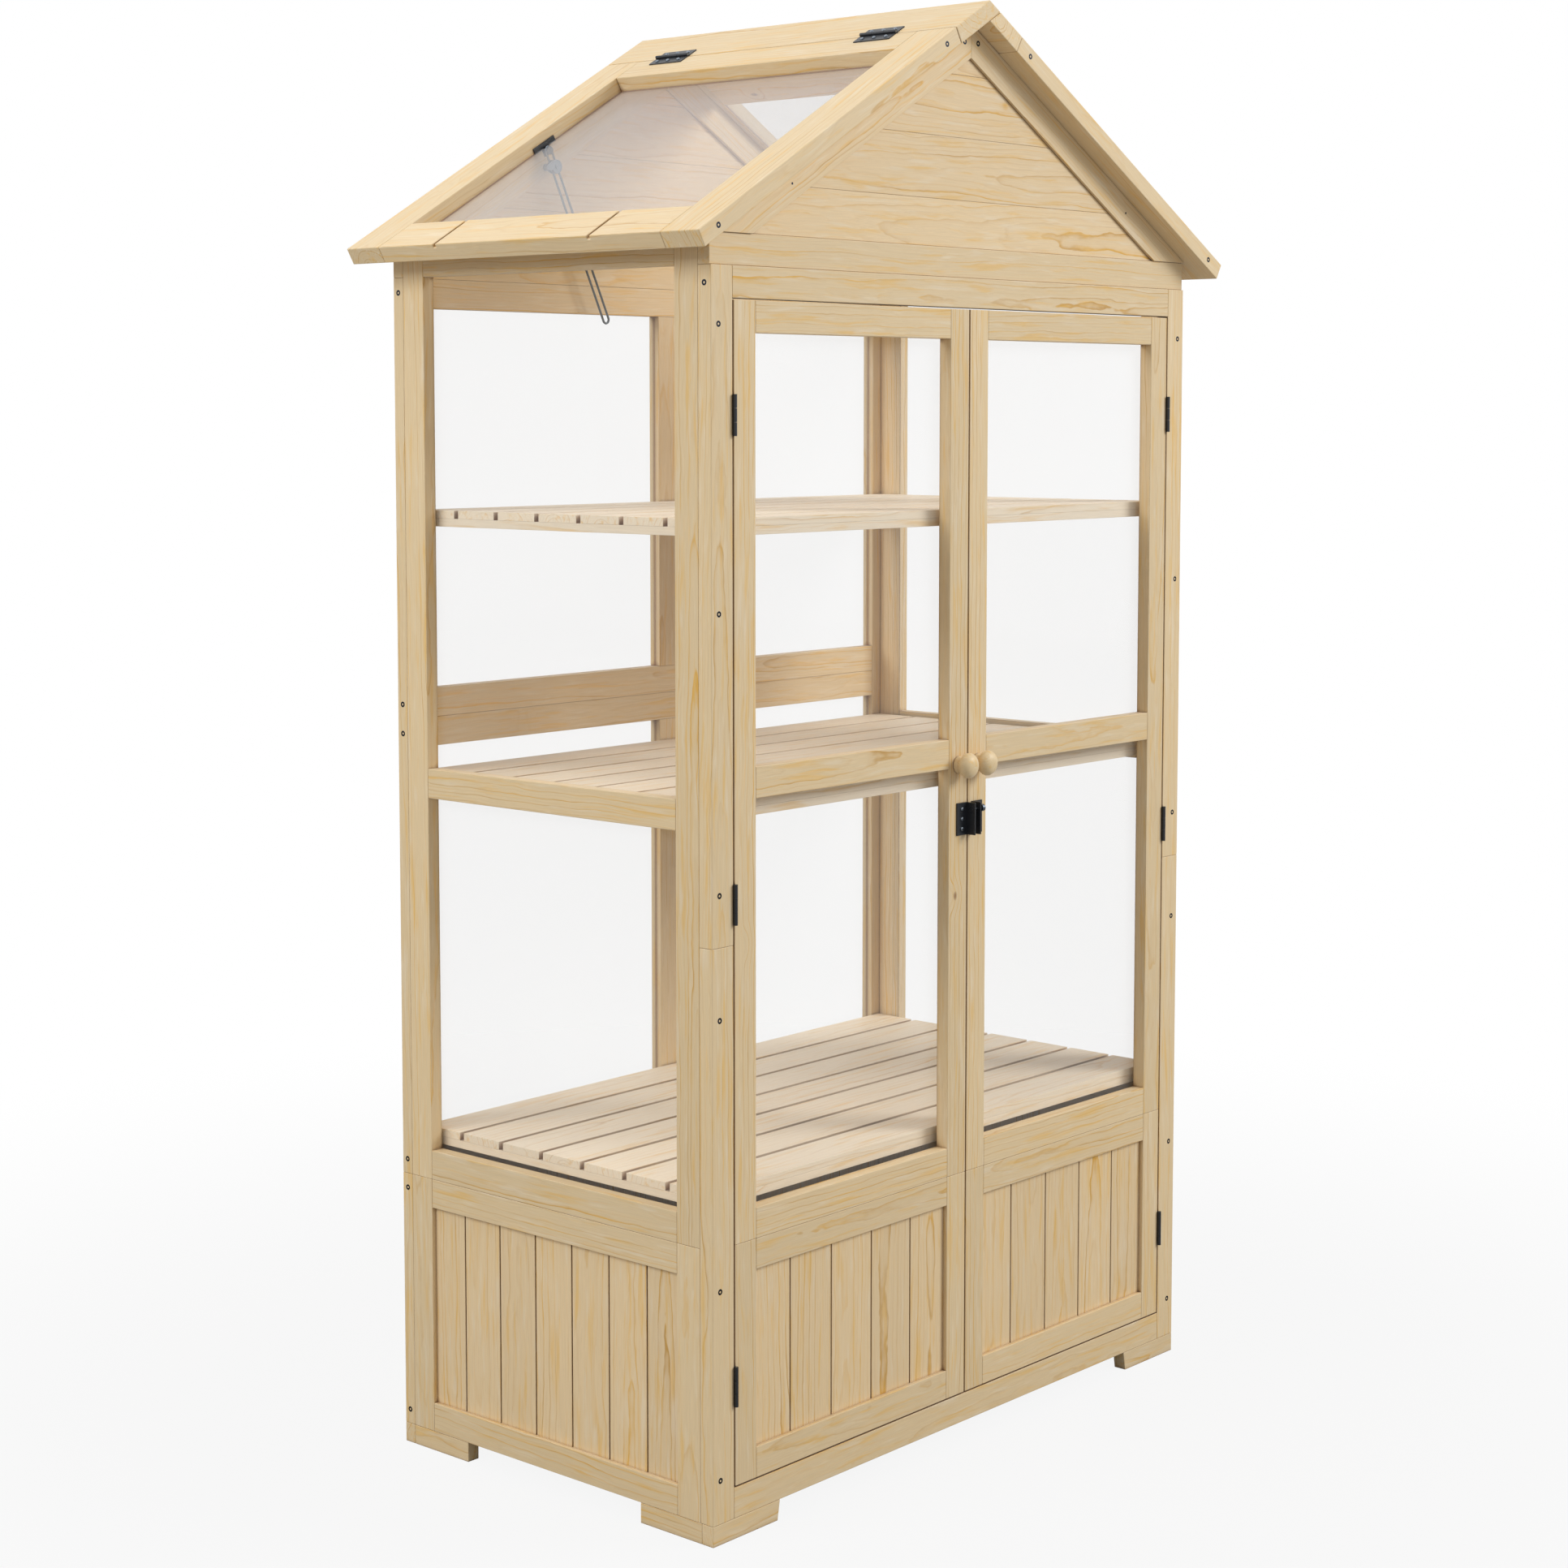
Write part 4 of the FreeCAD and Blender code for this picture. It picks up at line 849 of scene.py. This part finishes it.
@dataclass
class Gable:
    """Two rafters and the level boards between them at one end."""

    end: End
    rafter_depth: float = 0.031
    rafter_ease: float = 0.0004
    recess: float = 0.0035
    edges: Tuple[float, ...] = (1.279, 1.328, 1.3925, 1.457)

    def build(self) -> None:
        """Makes the rafters and the boards."""
        tan = math.tan(BODY.pitch)
        outward = self.end.value
        face = outward * BODY.half_depth
        under = BODY.roof_under - self.rafter_depth / math.cos(BODY.pitch)
        rafters = Timber(f"{self.end.word}_rafters")
        for side in Side:
            flank = side.value
            corners = [(0.0, under), (flank * (under - BODY.wall_top) / tan, BODY.wall_top),
                       (flank * BODY.half_width, BODY.wall_top),
                       (flank * BODY.half_width, BODY.wall_top + BODY.eaves_rise), (0.0, BODY.roof_under)]
            down = Vector((flank * math.cos(BODY.pitch), 0.0, -math.sin(BODY.pitch)))
            rafters.prism([(x, face, z) for x, z in corners], (0.0, -outward * BODY.post_stock, 0.0), down,
                          self.rafter_ease)
        rafters.finish()
        boards = Timber(f"{self.end.word}_gable_boards", ease=0.0006, straight_share=0.35)
        shown = face - outward * self.recess
        for low, high in zip(self.edges, self.edges[1:] + (under,)):
            half_low, half_high = (under - low) / tan, (under - high) / tan
            corners = [(-half_low, low), (half_low, low), (half_high, high)]
            if half_high > TOUCHING:
                corners.append((-half_high, high))
            boards.prism([(x, shown, z) for x, z in corners], (0.0, -outward * BODY.board_stock, 0.0), AXES[0])
        boards.finish()


@dataclass
class Ridge:
    """The two boards along the ridge; the left one runs over the right one's edge."""

    ease: float = 0.001

    def build(self) -> None:
        """Makes both boards."""
        cos, sin, tan = math.cos(BODY.pitch), math.sin(BODY.pitch), math.tan(BODY.pitch)
        lap_x = BODY.roof_stock / cos / tan / 2
        lap = (lap_x, BODY.ridge - lap_x * tan)
        edge = (BODY.roof_cover * cos, BODY.ridge - BODY.roof_cover * sin)
        foot = (edge[0] - BODY.roof_stock * sin, edge[1] - BODY.roof_stock * cos)
        middle = (0.0, BODY.roof_under)
        outlines = {
            Side.LEFT: [(-edge[0], edge[1]), (0.0, BODY.ridge), lap, middle, (-foot[0], foot[1])],
            Side.RIGHT: [lap, edge, foot, middle],
        }
        for side, corners in outlines.items():
            board = Timber(f"ridge_board_{side.word}", ease=self.ease)
            board.prism([(x, -BODY.roof_half, z) for x, z in corners], (0.0, 2 * BODY.roof_half, 0.0), BACKWARD)
            board.finish()


@dataclass
class RoofSlope:
    """A glazed frame on one slope; the left one is the opening sash."""

    side: Side
    ease: float = 0.0009
    gap: float = 0.0008
    lift: float = 0.0005
    stile: float = 0.050
    top_rail: float = 0.0435
    bottom_rail: float = 0.053
    drain: float = 0.004
    drains: Spot = (-0.116, 0.104)

    def build(self) -> None:
        """Makes the two stiles, the top rail and the grooved bottom rail."""
        sash = self.side is Side.LEFT
        start = BODY.roof_cover + (self.gap if sash else 0.0)
        under = -BODY.roof_stock + (self.lift if sash else 0.0)
        half = BODY.roof_half
        inner = half - self.stile
        head = BODY.roof_cover + self.top_rail
        end = BODY.slope_end
        tail = end - self.bottom_rail
        bars = Timber("sash_frame" if sash else "roof_right_frame", place=BODY.slope(self.side),
                      ease=self.ease, pane_face=(2, under))
        for low, high in ((-half, -inner), (inner, half)):
            bars.bar((start, low, under), (end, high, 0.0), Grain.X)
        bars.bar((start, -inner, under), (head, inner, 0.0), Grain.Y)
        corners = [(tail, -inner, under), (tail, -inner, 0.0)]
        for middle in self.drains:
            for edge, depth in ((-1, 0.0), (-1, -self.drain), (1, -self.drain), (1, 0.0)):
                corners.append((tail, middle + edge * self.drain / 2, depth))
        corners += [(tail, inner, 0.0), (tail, inner, under)]
        bars.prism(corners, (self.bottom_rail, 0.0, 0.0), BACKWARD)
        bars.finish()


@dataclass
class Shelf:
    """Slats running the full width on battens set flush with their ends."""

    name: str
    top: float
    half: float = 0.3815
    front: float = -0.205
    back: float = 0.210
    slats: int = 7
    slat: float = 0.054
    slat_stock: float = 0.0085
    batten: float = 0.030
    ease: float = 0.0003

    def build(self) -> None:
        """Makes the slats and the battens."""
        timber = Timber(self.name, ease=self.ease)
        half, under = self.half, self.top - self.slat_stock
        low = under - self.slat_stock
        pitch = (self.back - self.front - self.slat) / (self.slats - 1)
        for index in range(self.slats):
            start = self.front + index * pitch
            timber.bar((-half, start, under), (half, start + self.slat, self.top), Grain.X)
        first, last = self.front + self.batten, self.back - self.batten
        for start, end in ((self.front, first), (last, self.back)):
            timber.bar((-half, start, low), (half, end, under), Grain.X)
        for left in (-half, half - self.batten):
            timber.bar((left, first, low), (left + self.batten, last, under), Grain.Y)
        timber.finish()


@dataclass
class Cleats:
    """Small blocks on the side walls' stiles that carry the shelves."""

    tops: Tuple[float, ...] = (0.330, 0.713, 0.989)
    height: float = 0.020
    stock: float = 0.013
    rows: Tuple[Spot, ...] = ((-0.208, -0.193), (0.195, 0.210))

    def build(self) -> None:
        """Makes the twelve blocks."""
        inner = BODY.half_width - BODY.stock
        blocks = []
        for top in self.tops:
            for side in Side:
                low, high = side.span(inner - self.stock, inner)
                blocks += [((low, start, top - self.height), (high, end, top), Grain.Y)
                           for start, end in self.rows]
        lay_bars("shelf_cleats", blocks)


def set_heads(node: str, model: Callable[[float], BMesh], spots: Sequence[HeadSpot],
              place: Matrix = Matrix.Identity(4), slot: Optional[str] = None) -> None:
    """Sets a head at each of a node's spots.

    Args:
        node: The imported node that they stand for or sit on.
        model: Makes a head of a given radius that faces up from the origin.
        spots: Each head's place, the way that it faces and its radius.
        place: The matrix that lays the group.
        slot: The material slot of heads that sit on the node, or None for heads that stand for it.
    """
    shape = bmesh.new()
    for spot, way, radius in spots:
        head = model(radius)
        turn = way.to_track_quat("Z", "Y").to_matrix().to_4x4()
        bmesh.ops.transform(head, matrix=place @ Matrix.Translation(spot) @ turn, verts=head.verts)
        gather(shape, head)
    place_piece(node + "_heads", write_mesh(node + "_heads", shape), node, slot)


def disc(radius: float, low: float, high: float) -> BMesh:
    """A flat disc between two heights."""
    solid = bmesh.new()
    bmesh.ops.create_cone(solid, cap_ends=True, segments=20, radius1=radius, radius2=radius, depth=high - low)
    bmesh.ops.translate(solid, vec=(0.0, 0.0, (low + high) / 2), verts=solid.verts)
    solid.normal_update()
    return solid


@dataclass
class Fastenings:
    """Sunk screw heads and the small nails of the rafters."""

    radius: float = 0.003
    nail: float = 0.00125
    sunk: float = 0.0009
    proud: float = 0.0001
    socket: float = 0.0012
    socket_draft: float = 0.00018
    socket_depth: float = 0.00063
    post_across: float = 0.3893
    post_levels: Tuple[float, ...] = (0.065, 0.254, 0.522, 0.644, 0.916, 1.192)
    post_flank: Spot = (-0.2175, 1.231)
    rafter_screw: Spot = (0.0113, 0.020)
    rafter_nail: Spot = (0.283, 0.018)
    back_depth: float = 0.2185
    back_levels: Tuple[float, ...] = (0.0365, 0.2805, 0.3115, 0.7695, 0.8005, 1.2325)
    roof_top: Spot = (0.08675, -0.00935)
    sash_top: Spot = (0.08755, -0.0091)
    roof_tail: float = 0.0265

    def build(self) -> None:
        """Makes the heads of the walls, the back, the fixed slope and the sash."""
        wall, rear = [], []
        screw_across, screw_drop = self.rafter_screw
        nail_across, nail_drop = self.rafter_nail
        screw_z = BODY.roof_under - screw_drop
        nail_z = BODY.roof_under - nail_across * math.tan(BODY.pitch) - nail_drop
        for side in Side:
            flank = side.value
            out = Vector((flank, 0, 0))
            wall += [((flank * self.post_across, -BODY.half_depth, level), FRONTWARD, self.radius)
                     for level in self.post_levels]
            wall.append(((flank * BODY.half_width, *self.post_flank), out, self.radius))
            for face, way in ((-BODY.half_depth, FRONTWARD), (BODY.half_depth, BACKWARD)):
                wall.append(((flank * screw_across, face, screw_z), way, self.radius))
                wall.append(((flank * nail_across, face, nail_z), way, self.nail))
            rear += [((flank * BODY.half_width, self.back_depth, level), out, self.radius)
                     for level in self.back_levels]
        set_heads("wall_screws", self.head, wall)
        set_heads("back_screws", self.head, rear)
        for side, node, (first, depth) in ((Side.RIGHT, "roof_screws", self.roof_top),
                                           (Side.LEFT, "sash_screws", self.sash_top)):
            spots = [((along, way.y * BODY.roof_half, depth), way, self.radius)
                     for along in (first, BODY.slope_end - self.roof_tail) for way in (FRONTWARD, BACKWARD)]
            set_heads(node, self.head, spots, BODY.slope(side))

    def head(self, radius: float) -> BMesh:
        """A flat head, sunk almost flush, with a round socket in all but the nails."""
        head = disc(radius, -self.sunk, self.proud)
        if radius > self.nail:
            top = max(head.faces, key=lambda face: face.normal.z)
            bmesh.ops.inset_region(head, faces=[top], thickness=radius - self.socket, depth=0.0)
            bmesh.ops.inset_region(head, faces=[top], thickness=self.socket_draft, depth=-self.socket_depth)
        return head


@dataclass
class PanHeads:
    """The domed heads of the small screws in the latch's leaves and the sash's hinges."""

    radius: float = 0.0024
    height: float = 0.0016
    dome: float = 0.00144
    latch_leaves: Dict[Side, float] = field(default_factory=lambda: {Side.LEFT: -0.0115, Side.RIGHT: 0.0155})
    latch_middle: float = 0.67875
    latch_pitch: float = 0.0105
    latch_skin: float = 0.0015
    hinge_seam: float = 0.0654
    hinge_out: float = 0.009
    hinge_skin: float = 0.0012
    hinge_spread: float = 0.148
    hinge_pitch: float = 0.016

    def build(self) -> None:
        """Makes the heads on both latch brackets and on both leaves of each sash hinge."""
        steps = (-1, 0, 1)
        for side, across in self.latch_leaves.items():
            spots = [((across, -BODY.half_depth - self.latch_skin, self.latch_middle + step * self.latch_pitch),
                      FRONTWARD, self.radius) for step in steps]
            set_heads(f"latch_bracket_{side.word}", self.head, spots, slot="bright_steel")
        for node, way in (("sash_hinge_ridge_leaves", -1), ("sash_hinge_leaves", 1)):
            along = self.hinge_seam + way * self.hinge_out
            spots = [((along, middle + step * self.hinge_pitch, self.hinge_skin), UPWARD, self.radius)
                     for middle in (-self.hinge_spread, self.hinge_spread) for step in steps]
            set_heads(node, self.head, spots, BODY.slope(Side.LEFT), "bright_steel")

    def head(self, radius: float) -> BMesh:
        """A domed head that stands on its leaf."""
        head = disc(radius, 0.0, self.height)
        rim = [edge for edge in head.edges if all(vert.co.z > self.height / 2 for vert in edge.verts)]
        bmesh.ops.bevel(head, geom=rim, offset=self.dome, segments=5, profile=0.5, affect="EDGES", material=-1)
        for face in head.faces:
            face.smooth = abs(face.normal.z) < 0.99
        return head


@dataclass
class BoughtParts:
    """Panes, hinges, latch and stay, shown as they were packed."""

    slots: Tuple[str, ...] = ("glass", "roof_glass", "black_steel", "bright_steel")

    def build(self) -> None:
        """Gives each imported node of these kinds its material."""
        for node, slot in NODE_SLOT.items():
            if slot in self.slots:
                dress(frame["nodes"][node], Finishes.made[slot])
                log.info("dressed %s with %s", node, slot)


@dataclass
class Studio:
    """A pale floor, soft lamps, a white surround and the camera."""

    camera_spot: Point = (-2.4174, -2.0923, 1.1102)
    yaw: float = 0.84946
    pitch: float = -0.08293
    lens: float = 66.38
    shift_y: float = -0.085
    ambient: float = 0.38
    floor_half: float = 9.0
    aim: Point = (0.0, 0.0, 0.75)
    # Each lamp's place, width in metres and power in watts
    lamps: Tuple[Tuple[str, Point, float, float], ...] = (
        ("front_lamp", (4.2, -5.3, 4.2), 3.3, 328.0),
        ("side_lamp", (-4.4, 1.4, 3.4), 2.6, 124.0),
        ("top_lamp", (-0.7, 0.3, 5.2), 3.2, 52.0))

    def build(self) -> None:
        """Makes the floor, the surround, the lamps and the camera."""
        self.build_floor()
        self.build_world()
        for name, spot, size, power in self.lamps:
            self.build_lamp(name, spot, size, power)
        self.build_camera()
        bpy.context.scene.view_settings.view_transform = "Standard"

    def build_floor(self) -> None:
        """A pale floor that keeps the shadow near the object and fades to the white surround."""
        shape = bmesh.new()
        bmesh.ops.create_grid(shape, x_segments=2, y_segments=2, size=self.floor_half)
        floor = add_object("floor", write_mesh("floor", shape))
        # Matte painted floor, pale, with no sheen of its own
        material, add = blank("matte_pale_floor")
        place = add("TexCoord", {}).outputs["Object"]
        reach = add("VectorMath", {"operation": "LENGTH", 0: place})
        fade = add("MapRange", {**SMOOTH, "Value": reach, "From Min": 0.6, "From Max": 2.0, "To Min": 0.90})
        path = add("LightPath", {}).outputs["Is Camera Ray"]
        seen = add("Math", {"operation": "MULTIPLY", 0: path, 1: fade})
        paint = add("BsdfDiffuse", {"Color": linear("#a2a2a2")})
        glow = add("Emission", {"Color": linear("#ffffff"), "Strength": 1.0})
        add("OutputMaterial", {"Surface": add("MixShader", {0: seen, 1: paint, 2: glow})})
        dress(floor, material)

    def build_world(self) -> None:
        """White to the camera, to reflections and through clear sheets; a softer level for lighting."""
        world = bpy.data.worlds.new("white_surround")
        world.use_nodes = True
        world.node_tree.nodes.clear()
        add = partial(add_node, world.node_tree)
        path = add("LightPath", {}).outputs
        either = add("Math", {"operation": "MAXIMUM", 0: path["Is Camera Ray"], 1: path["Is Glossy Ray"]})
        shown = add("Math", {"operation": "MAXIMUM", 0: either, 1: path["Is Transmission Ray"]})
        level = add("MapRange", {"Value": shown, "To Min": self.ambient, "To Max": 1.0})
        back = add("Background", {"Color": linear("#ffffff"), "Strength": level})
        add("OutputWorld", {"Surface": back})
        bpy.context.scene.world = world

    def build_lamp(self, name: str, spot: Point, size: float, power: float) -> None:
        """A square soft lamp aimed at the middle of the greenhouse."""
        data = bpy.data.lights.new(name, "AREA")
        data.shape = "SQUARE"
        data.size = size
        data.energy = power
        lamp = add_object(name, data)
        lamp.location = spot
        lamp.rotation_euler = (Vector(self.aim) - Vector(spot)).to_track_quat("-Z", "Y").to_euler()

    def build_camera(self) -> None:
        """The camera at the photograph's viewing angle."""
        data = bpy.data.cameras.new("camera")
        data.lens = self.lens
        data.sensor_width = 36.0
        data.shift_y = self.shift_y
        camera = add_object("camera", data)
        camera.location = self.camera_spot
        camera.rotation_euler = (math.pi / 2 + self.pitch, 0.0, -self.yaw)
        bpy.context.scene.camera = camera


def main() -> None:
    """Builds the sub-assemblies in order."""
    logging.basicConfig(level=logging.INFO, format="%(name)s: %(message)s")
    Finishes().build()
    parts = [Feet(end) for end in End] + [FrontWall(), BackWall()] + [SideWall(side) for side in Side]
    parts += [Door(side) for side in Side] + [Gable(end) for end in End]
    parts += [Ridge()] + [RoofSlope(side) for side in Side]
    parts += [Shelf("shelf_low", 0.347), Shelf("shelf_middle", 0.730), Shelf("shelf_high", 1.006)]
    parts += [Cleats(), Fastenings(), PanHeads(), BoughtParts()]
    for part in parts:
        part.build()
    Studio().build()


if __name__ == "__main__":
    main()
